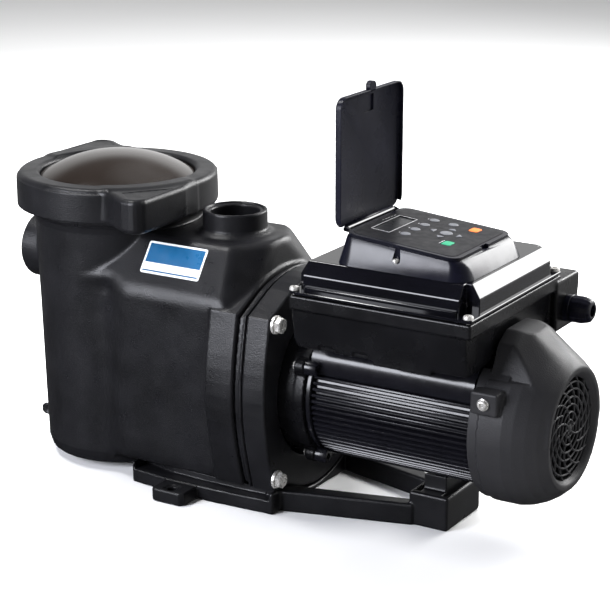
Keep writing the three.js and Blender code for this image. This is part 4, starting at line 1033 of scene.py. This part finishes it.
def drive_case(x, y, z):
    body = convex(x, y, z, CASE_PLANES, 2.5)
    lip = block(x, y, z, (DRIVE_LEFT, -DRIVE_HALF, LIP_LOW), (DRIVE_RIGHT, DRIVE_HALF, LIP_HIGH), 1.6)
    lip = np.maximum(lip, prism(np.maximum(np.abs(x - 147.9) - 90.3, np.abs(y) - 93), z, LIP_LOW, LIP_HIGH,
                                1.6))
    body = smin(body, lip, 1.6)
    # a skirt and two shallow clip pockets along the foot of each side wall
    ay = np.abs(y)
    body = smin(body, block(x, ay, z, (139, 70, 166.2), (197, 84.6, 176), 0.8), 1)
    for x0 in (84, 119):
        body = smax(body, -block(x, ay, z, (x0, 82.6, 166), (x0 + 16, 95, 175.5), 1.5), 1.2)
    wiring = convex(x, y, z, WIRING_PLANES, 3)
    body = smin(body, wiring, 2)
    inside = block(x, y, z, (62, -81, 179), (222, 81, 240), 3)
    room = block(x, y, z, (153, 84, 171), (236.6, 121, 213), 2)
    saddle = block(x, y, z, (50, -60.5, 150), (260, 60.5, SHAFT_Z + SADDLE + 0.4), 0.5)
    fan_room = np.maximum(np.hypot(y, z - SHAFT_Z) - 76.6, 225.5 - x)
    gland = rod_x(x, y, z, 10.3, 230, 245, GLAND_Y, GLAND_Z, 0.1)
    return hollowed(body, 0.8, inside, room, saddle, fan_room, gland)


moulded("drive_case_casting", drive_case, (52, -96, 158), (244, 134, 224), 1.5, CASE_BLACK,
        "drive_case")

# ---- drive lid ----
CAP_LEFT, CAP_RIGHT, CAP_HALF = 62.0, 236.0, 85.0
NOTCH_LEFT, NOTCH_RIGHT = 6.0, 13.0  # corner notches for the lid screws
CAP_SHOULDER, CAP_BEVEL = 238.5, 7.5
PLATE_FOOT = 222.2


def cap_plan(inset):
    """The cap's notched outline, drawn in to inset inside its own rectangle."""
    a, b, w = CAP_LEFT + NOTCH_LEFT, CAP_RIGHT - NOTCH_RIGHT, CAP_HALF
    near = [(CAP_LEFT, NOTCH_LEFT - w), (a, NOTCH_LEFT - w), (a, -w), (b, -w), (b, NOTCH_RIGHT - w),
            (CAP_RIGHT, NOTCH_RIGHT - w)]
    corners = near[2:] + [(x, -y) for x, y in reversed(near)] + near[:2]
    x0, x1 = CAP_LEFT + inset, CAP_RIGHT - inset
    return [(min(max(x, x0), x1), min(max(y, inset - w), w - inset)) for x, y in corners]


def plate_plan(inset):
    half = DRIVE_HALF - inset
    return rounded(DRIVE_LEFT + inset, DRIVE_RIGHT - inset, -half, half, 3.5)


def ledge_plan(inset):
    return rounded(70 + inset, 221 - inset, -88 + inset, -80, 2, 3)


plate_levels = ((PLATE_FOOT, 0.4), (PLATE_FOOT + 0.4, 0), (PLATE_FOOT + 2.0, 0), (PLATE_FOOT + 2.5, 0.5))
plate = shaped(loft("lid_plate", stacked(plate_plan, plate_levels), GLOSS))
cap = loft("cap", stacked(cap_plan, ((223, 0), (CAP_SHOULDER, 0), (CAP_TOP, CAP_BEVEL))), GLOSS)
ledge = loft("ledge", stacked(ledge_plan, ((224, 0), (228.6, 0), (229.2, 0.6))), GLOSS)
settle(shaped(cap, 0.9, 20, 3), "drive_lid")
settle(shaped(ledge, 0.4, 30, 2))
settle(plate)


# ---- control panel ----
TILT = math.atan2(-PANEL_ALONG[2], PANEL_ALONG[0])
HINGE_U, HINGE_W = -4.5, -0.5
PANEL_Y = HINGE[1]
PANEL_ORIGIN = Vector(HINGE) - Vector(PANEL_ALONG) * HINGE_U - Vector(PANEL_OUT) * HINGE_W
PANEL_LENGTH, PANEL_HALF = 110.6, 54.5
BAND = 3.2  # upright band round the top that the cover closes over
FACE = rounded(4.0, 106.6, -50.5, 50.5, 8.0)
LATCH = rectangle(108.1, 113.6, -6.5, 6.5)
on_panel = Matrix((PANEL_ALONG, (0, 1, 0), PANEL_OUT)).transposed().to_4x4()
on_panel.translation = PANEL_ORIGIN


def carved(obj, *cutters):
    """obj with the cutters' shapes taken out of its mesh."""
    for c in cutters:
        m = obj.modifiers.new("cut", "BOOLEAN")
        m.operation = "DIFFERENCE"
        m.solver = "EXACT"
        m.object = c
    graph = bpy.context.evaluated_depsgraph_get()
    mesh = bpy.data.meshes.new_from_object(obj.evaluated_get(graph))
    old = obj.data
    obj.modifiers.clear()
    obj.data = mesh
    bpy.data.meshes.remove(old)
    for c in cutters:
        discard(c)
    return obj


def panel_height(x, drop=0.0):
    return PANEL_ORIGIN.z - (x - PANEL_ORIGIN.x) * math.tan(TILT) - drop


def panel_body():
    right = PANEL_ORIGIN.x + PANEL_LENGTH
    left = PANEL_ORIGIN.x
    low = CAP_TOP + 0.3
    w = PANEL_HALF
    rows = []
    for i in range(9):
        t = i / 8
        # each wall swells out towards its foot in its own curve
        flare = [(1 - t) ** k for k in (0.75, 0.6, 1.5, 1.5)]
        outline = rounded(left - 0.5 - 7.5 * flare[0], right + 1.2 + 12.2 * flare[1],
                          -w - 1.2 - 7.8 * flare[2],
                          w + 0.8 + 2.2 * flare[3], 10 + 8 * flare[0])
        rows.append([(x, y + PANEL_Y, low + t * (panel_height(x, BAND) - low)) for x, y in outline])
    for drop in (BAND - 0.4, 0):
        rows.append([(x, y + PANEL_Y, panel_height(x, drop)) for x, y in rounded(left, right, -w, w, 10)])
    for depth in (0.0, -2.0):
        rows.append(place([(u, v, depth) for u, v in FACE], on_panel))
    body = loft("panel_body", rows, PANEL_BLACK)
    foot = node_box("panel_screw")[1][2] - 2.7
    way = circle(3.8, 24, node_centre("panel_screw")[:2])
    notch = slab("notch", way, (foot, foot + 11), PANEL_BLACK, Matrix())
    latch = slab("latch", LATCH, (-3.5, 1), PANEL_BLACK, on_panel)
    settle(shaped(carved(body, notch, latch), 0.7, 28, 2), "panel_housing")


panel_body()
for i, v in enumerate((-44, 44)):
    ear_rows = []
    for side in (v - 1.5, v + 1.5):
        outline = [polar(2.1, a, (HINGE_U, HINGE_W)) for a in range(90, 271, 20)]
        outline += [(1, HINGE_W - 2.1), (1, HINGE_W + 0.4)]
        ear_rows.append(place([(p, side, q) for p, q in outline], on_panel))
    settle(shaped(loft(f"hinge_ear_{i + 1}", ear_rows, GLOSS)))

# ---- keys ----
KEY_TOP = 0.8
ARROWS = {"right_key": 0, "up_key": 90, "left_key": 180, "down_key": 270}  # degrees turned
COLOURED = {"stop_key": (KEY_ORANGE, "key_orange"), "start_key": (KEY_GREEN, "key_green")}


def key_outline(name, shrink):
    if name == "enter_key" or name.startswith("soft"):
        return circle((6.0 if name == "enter_key" else 4.8) - shrink, 32)
    if name in ("start_key", "stop_key"):
        return rounded(-4.6 + shrink, 4.6 - shrink, -6 + shrink, 6 - shrink, 1.7, 6)
    r, draw_in = 0.75 - shrink * 0.35, 1 - 0.1 * shrink
    corners = ((2.2, 0, -50), (-1.4, 3.0, 50), (-1.4, -3.0, 180))
    points = [polar(r, a, (cx * draw_in, cy * draw_in)) for cx, cy,
              start in corners for a in range(start, start + 121,
                                              20)]
    c, s = polar(1, ARROWS[name])
    return [(u * c - v * s, u * s + v * c) for u, v in points]


inverse = on_panel.inverted()
for name in [n for n in frame["nodes"] if n.endswith("_key") or n.startswith("soft_key")]:
    lo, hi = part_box(name)
    centre = inverse @ ((lo + hi) / 2 / MM)
    if name in ARROWS:
        # an arrow's box is not centred on its own origin
        centre -= Vector((*polar(0.6, ARROWS[name]), 0))
    finish, slot = COLOURED.get(name, (KEY_GREY, "key_grey"))
    rows = []
    for h, shrink in ((-2.8, 0.1), (0.15, 0.1), (0.55, 0.3), (KEY_TOP - 0.06, 0.8), (KEY_TOP, 1.6)):
        rows.append(place([(centre.x + u, centre.y + v, h) for u, v in key_outline(name, shrink)], on_panel))
    settle(shaped(loft(name + "_cap", rows, finish), angle=40), name, name + "_body")


# ---- print on the faceplate: thin frames and ticks, no lettering ----
def printed(name, pieces, low=0.32, high=0.40):
    verts, faces = [], []
    for piece in pieces:
        n = len(verts)
        for h in (low, high):
            verts += place([(u, v, h) for u, v in rectangle(*piece)], on_panel)
        faces += [(n + 3, n + 2, n + 1, n), (n + 4, n + 5, n + 6, n + 7)]
        faces += [(n + i, n + (i + 1) % 4, n + 4 + (i + 1) % 4, n + 4 + i) for i in range(4)]
    settle(new_object(name, verts, faces, PRINT, smooth=False))


def frame_lines(u0, u1, v0, v1, t=0.35):
    return [(u0, u1, v0, v0 + t), (u0, u1, v1 - t, v1), (u0, u0 + t, v0, v1), (u1 - t, u1, v0, v1)]


marks = frame_lines(11.3, 30.2, -27.5, 25.9, 0.6)
marks += [(7 + 0.2 * i, 7.5 + 0.2 * i, 1 + 5 * i, 4.4 + 5 * i) for i in range(5)]
marks += [(77.6, 78.2, -24, -13)] + [(36.2, 36.8, v, v + 2.2) for v in (33.6, 15.1, -3.1, -21.4)]
printed("faceplate_print", marks)


# ---- hinged cover, drawn closed about the hinge and stood upright ----
on_cover = Matrix(((0, 0, -1), (0, 1, 0), (1, 0, 0))).to_4x4()
on_cover.translation = Vector(HINGE)
COVER_INSIDE, COVER_SKIN, COVER_RIM = 2.5, 2.4, 4.2


def panel_cover():
    u0, u1, v = 1.5, 118.1, 56.7
    outer, back, lip = COVER_INSIDE + COVER_SKIN, COVER_INSIDE, COVER_INSIDE - COVER_RIM
    rows = []
    for w, inset, r in ((outer, 3.2, 8), (outer - 0.35, 1.2, 9.2), (outer - 1.4, 0.2, 10), (lip + 0.3, 0, 10),
                        (lip, 0.3, 9.8), (lip, 1.3, 9), (lip + 0.3, 1.6, 8.8), (back - 0.5, 1.7,
                                                                                8.6), (back, 2.4,
                                                                                       8)):
        outline = rounded(u0 + inset, u1 - inset, -v + inset, v - inset, r, 10)
        rows.append(place([(p, q, w) for p, q in outline], on_cover))
    tray = loft("tray", rows, COVER_BLACK)
    hinge_edge = slab("cutter", rectangle(-20, 8, -54.7, 54.7), (-9, back), COVER_BLACK, on_cover)
    recess = slab("cutter", rectangle(98, 113, -8, 8), (back - 1, back + 1.7), COVER_BLACK, on_cover)
    settle(shaped(carved(tray, hinge_edge, recess), 0.3, 35, 2), "panel_cover", "cover")
    finger_tab = rounded(115.8, u1 + 7.4, -5.8, 5.8, 5.6, 6)
    catch = slab("cover_catch", finger_tab, (lip, lip + 0.4, back + 0.6), COVER_BLACK, on_cover)
    settle(shaped(catch, 0.35, 35, 2), body="cover")
    hinge_x, hinge_y, hinge_z = HINGE
    barrel_at, pin_at = (axis_frame((hinge_x, hinge_y - reach, hinge_z), ALONG_Y) for reach in (42, 45.5))
    barrel_rows = [(0, 0), (1.8, 0), (2.1, 0.3), (2.1, 83.7), (1.8, 84), (0, 84)]
    barrel = lathe("barrel", barrel_rows, GLOSS, barrel_at, 24)
    pin = lathe("pin", [(0, 0), (1.1, 0), (1.1, 91), (0, 91)], GLOSS, pin_at, 16)
    arm_section = ((-1.5, 0), (3, 0), (3, 3), (-1.5, 3))
    arm = loft("arm", [place([(p, q, w) for p, w in arm_section], on_cover) for q in (-42, 42)], COVER_BLACK)
    settle(joined("cover_hinge_barrel", [barrel, pin, arm]), body="cover")


panel_cover()

# ---- cable gland ----
gland_at = axis_frame((240.0, GLAND_Y, GLAND_Z), ALONG_X)


def ribbed(angle, count=16, depth=0.02):
    return 1 - depth * (0.5 - 0.5 * math.cos(count * angle))


body_rows = [(5.5, -4), (10, -4), (10, 0.3), (12.9, 0.3), (12.9, 5.6), (12.4, 6), (9.2, 6), (9.2, 16),
             (5.5, 16)]
gland_body = lathe("gland_hex", body_rows, PANEL_BLACK, gland_at, 72, sharp=25)
settle(gland_body, "gland_body")
nut_rows = [(10.4, 6.3), (12.2, 6.3), (12.8, 6.9), (12.8, 17), (12.2, 18.2), (11.6, 21.6), (10.6, 24),
            (8.6, 25.6),
            (6.6, 26), (5.6, 25.6), (5.6, 17), (10.4, 17)]
gland_nut = lathe("gland_dome_nut", nut_rows, PANEL_BLACK, gland_at, 96, wobble=ribbed, sharp=35)
settle(gland_nut, "gland_nut")


# ---- base frame ----
PLATE_PLAN = [(-129, -80), (-87, -85), (-30, -85), (33, -82), (33, 82), (-30, 85), (-87, 85), (-129, 80)]
STEP_PLAN = [(-126, 60), (-87, 70), (-30, 72), (28, 70), (28, 100), (-126, 100)]
TAB_PLAN = [(-87, 40), (-87, 106), (-83, 110), (-54, 110), (-50, 106), (-50, 40)]
BEAM_PLAN = [(20, 55), (20, 72), (40, 68), (155, 36), (155, 20)]
BASE_TOP, TAB_TOP = 21, 13
TAB_HOLE_X, TAB_HOLE_Y = -68.5, 99


def base_frame(x, y, z):
    ay = np.abs(y)
    plate = prism(polygon(x, y, PLATE_PLAN), z, 0, BASE_TOP, 2)
    # the plate steps down towards its edges
    step = prism(polygon(x, ay, STEP_PLAN), z, 14, 30, 1)
    plate = smax(plate, -step, 1)
    tab = prism(polygon(x, ay, TAB_PLAN), z, 0, TAB_TOP, 1.5)
    beam = prism(polygon(x, ay, BEAM_PLAN), z, 0, BASE_TOP, 2.5)
    rear = block(x, y, z, (150, -34, 0), (190, 34, 33), 2.5)
    saddle = block(x, y, z, (158, -20, 30), (182, 20, 50), 1)
    body = smin(smin(plate, tab, 2), smin(beam, smin(rear, saddle, 1), 2), 2)
    pot_way = np.hypot(x - POT_X, y) - 79.5
    trough = np.maximum(np.hypot(y, z - SHAFT_Z) - 105, np.abs(x) - 34)
    motor_way = np.maximum(np.hypot(y, z - SHAFT_Z) - 65.3, 140 - x)
    body = hollowed(body, 1, pot_way, trough, motor_way)
    from_hole = np.hypot(x - TAB_HOLE_X, ay - TAB_HOLE_Y)
    countersink = np.maximum(from_hole - 7.5, 11.8 - z)
    body = smax(smax(body, 4.5 - from_hole, 0.6), -countersink, 0.5)
    for x0, x1 in ((152, 158), (182, 186)):
        slot = block(x, y, z, (x0, -28, 21), (x1, 28, 60), 0.8)
        body = smax(body, -slot, 0.8)
    # lightening pockets under the plate's open corners
    for x0 in (-118, -46):
        pocket = block(x, ay, z, (x0, 20, -5), (x0 + 24, 62, 12), 3)
        body = smax(body, -pocket, 1)
    return body


moulded("base_moulding", base_frame, (-132, -113, -3), (193, 113, 53), 1.8, MOULDED,
        "base_frame")


# ---- a plain unlettered label on the front slope of the roof ----
def label():
    n, offset = ROOF[3] if ROOF[3][0].y < 0 else ROOF[1]
    slope = Vector((0, -34, EAVES - PLATEAU)).normalized()
    origin = Vector((-119, -50, PLATEAU)) + slope * 7 + n * 0.5
    at = Matrix((Vector((1, 0, 0)), -slope, n)).transposed().to_4x4()
    at.translation = origin
    bits = [slab("back", rounded(0, 66, -32, 0, 2, 4), (-0.4, 0.35), LABEL_WHITE, at)]
    for name, low, high in (("field", -21, -2), ("stripe", -30, -28.6)):
        bits.append(slab(name, rounded(2, 64, low, high, 0.8, 4), (-0.4, 0.45), LABEL_BLUE, at))
    sticker = joined("roof_label", bits)
    sticker.data.shade_flat()
    settle(sticker)


label()

# ---- finishes of the CAD nodes that stay ----
KEPT = {
    "diffuser": BASKET, "impeller": BASKET, "seal_plate_o_ring": RUBBER, "seal_seat": CERAMIC,
    "seal_head": STEEL, "front_bearing": STEEL, "rear_bearing": STEEL, "stator": WINDING,
    "rotor_core": STEEL, "motor_shaft": STEEL,
    "cooling_fan": MOULDED, "rear_end_bell": CAST, "drive_gasket": RUBBER, "inverter_board": BOARD,
    "display_module": DISPLAY, "keypad_faceplate": FACEPLATE,
}
for name, obj in frame["nodes"].items():
    obj.data.materials.clear()
    obj.data.materials.append(KEPT.get(name, MOULDED))

# ---- camera ----
CAMERA = Vector((0.95028, -1.53578, 0.72255))
TARGET = Vector((0.020, -0.0025, 0.1823))
LENS, SENSOR = 117.58, 36.0
camera = bpy.data.objects.new("camera", bpy.data.cameras.new("camera"))
bpy.context.scene.collection.objects.link(camera)
camera.data.lens = LENS
camera.data.sensor_width = SENSOR
camera.location = CAMERA
camera.rotation_euler = (TARGET - CAMERA).to_track_quat("-Z", "Y").to_euler()
bpy.context.scene.camera = camera

# ---- floor ----
FLOOR_HALF = 6000.0
floor_paint = material("floor_white", (0.95, 0.95, 0.95), 0.8, mottle=0.01, mottle_size=3, grain=0.01,
                       specular=0.1)
floor_corners = [(x, y, 0) for x, y in rectangle(-FLOOR_HALF, FLOOR_HALF, -FLOOR_HALF, FLOOR_HALF)]
floor = new_object("floor", floor_corners, [(0, 1, 2, 3)], floor_paint)
floor.visible_glossy = False

# ---- light: a bright wall and ceiling behind, a dim room in front ----
BRIGHT_TOWARDS = Vector((0.25, 0.85, 0.35)).normalized()
scene = bpy.context.scene
scene.view_settings.view_transform = "Standard"
world = bpy.data.worlds.new("studio")
world.use_nodes = True
sky, wires = world.node_tree.nodes, world.node_tree.links
facing = sky.new("ShaderNodeVectorMath")
facing.operation = "DOT_PRODUCT"
facing.inputs[1].default_value = BRIGHT_TOWARDS
direction = sky.new("ShaderNodeTexCoord").outputs["Generated"]
wires.new(direction, facing.inputs[0])
glow = remap(world.node_tree, facing.outputs["Value"], -0.15, 0.95, 0.22, 1.35, smooth=True)
height = sky.new("ShaderNodeSeparateXYZ")
wires.new(direction, height.inputs[0])
ceiling = remap(world.node_tree, height.outputs["Z"], 0.38, 0.62, 1.0, 0.22, smooth=True)
below = remap(world.node_tree, height.outputs["Z"], -0.40, -0.05, 0.08, 1.0)


def times(a, b):
    n = sky.new("ShaderNodeMath")
    n.operation = "MULTIPLY"
    wires.new(a, n.inputs[0])
    wires.new(b, n.inputs[1])
    return n.outputs["Value"]


wires.new(times(glow, times(ceiling, below)), sky["Background"].inputs["Strength"])
sky["Background"].inputs["Color"].default_value = (1, 1, 1, 1)
scene.world = world


def soft_box(name, at, towards, size, watts, seen_in_gloss=True, tint=(1, 1, 1)):
    lamp = bpy.data.lights.new(name, "AREA")
    lamp.shape = "RECTANGLE"
    lamp.size, lamp.size_y = size
    lamp.energy = watts
    lamp.color = tint
    obj = bpy.data.objects.new(name, lamp)
    scene.collection.objects.link(obj)
    obj.location = at
    obj.rotation_euler = (Vector(towards) - Vector(at)).to_track_quat("-Z", "Y").to_euler()
    obj.visible_glossy = seen_in_gloss


MIDDLE = (0.0, 0.0, 0.18)
soft_box("back_wall", (0.68, 1.9, 1.05), MIDDLE, (1.2, 1.1), 60)
soft_box("ceiling", (-0.2, 1.2, 2.1), MIDDLE, (1.6, 1.2), 90, seen_in_gloss=False)
soft_box("overhead_strip", (-0.87, -0.31, 1.9), (0.15, -0.04, 0.15), (0.55, 0.3), 22)
soft_box("front_left", (-0.81, -1.71, 0.80), (0.14, -0.05, 0.15), (0.9, 1.1), 60, tint=(0.90, 0.92, 1.0))
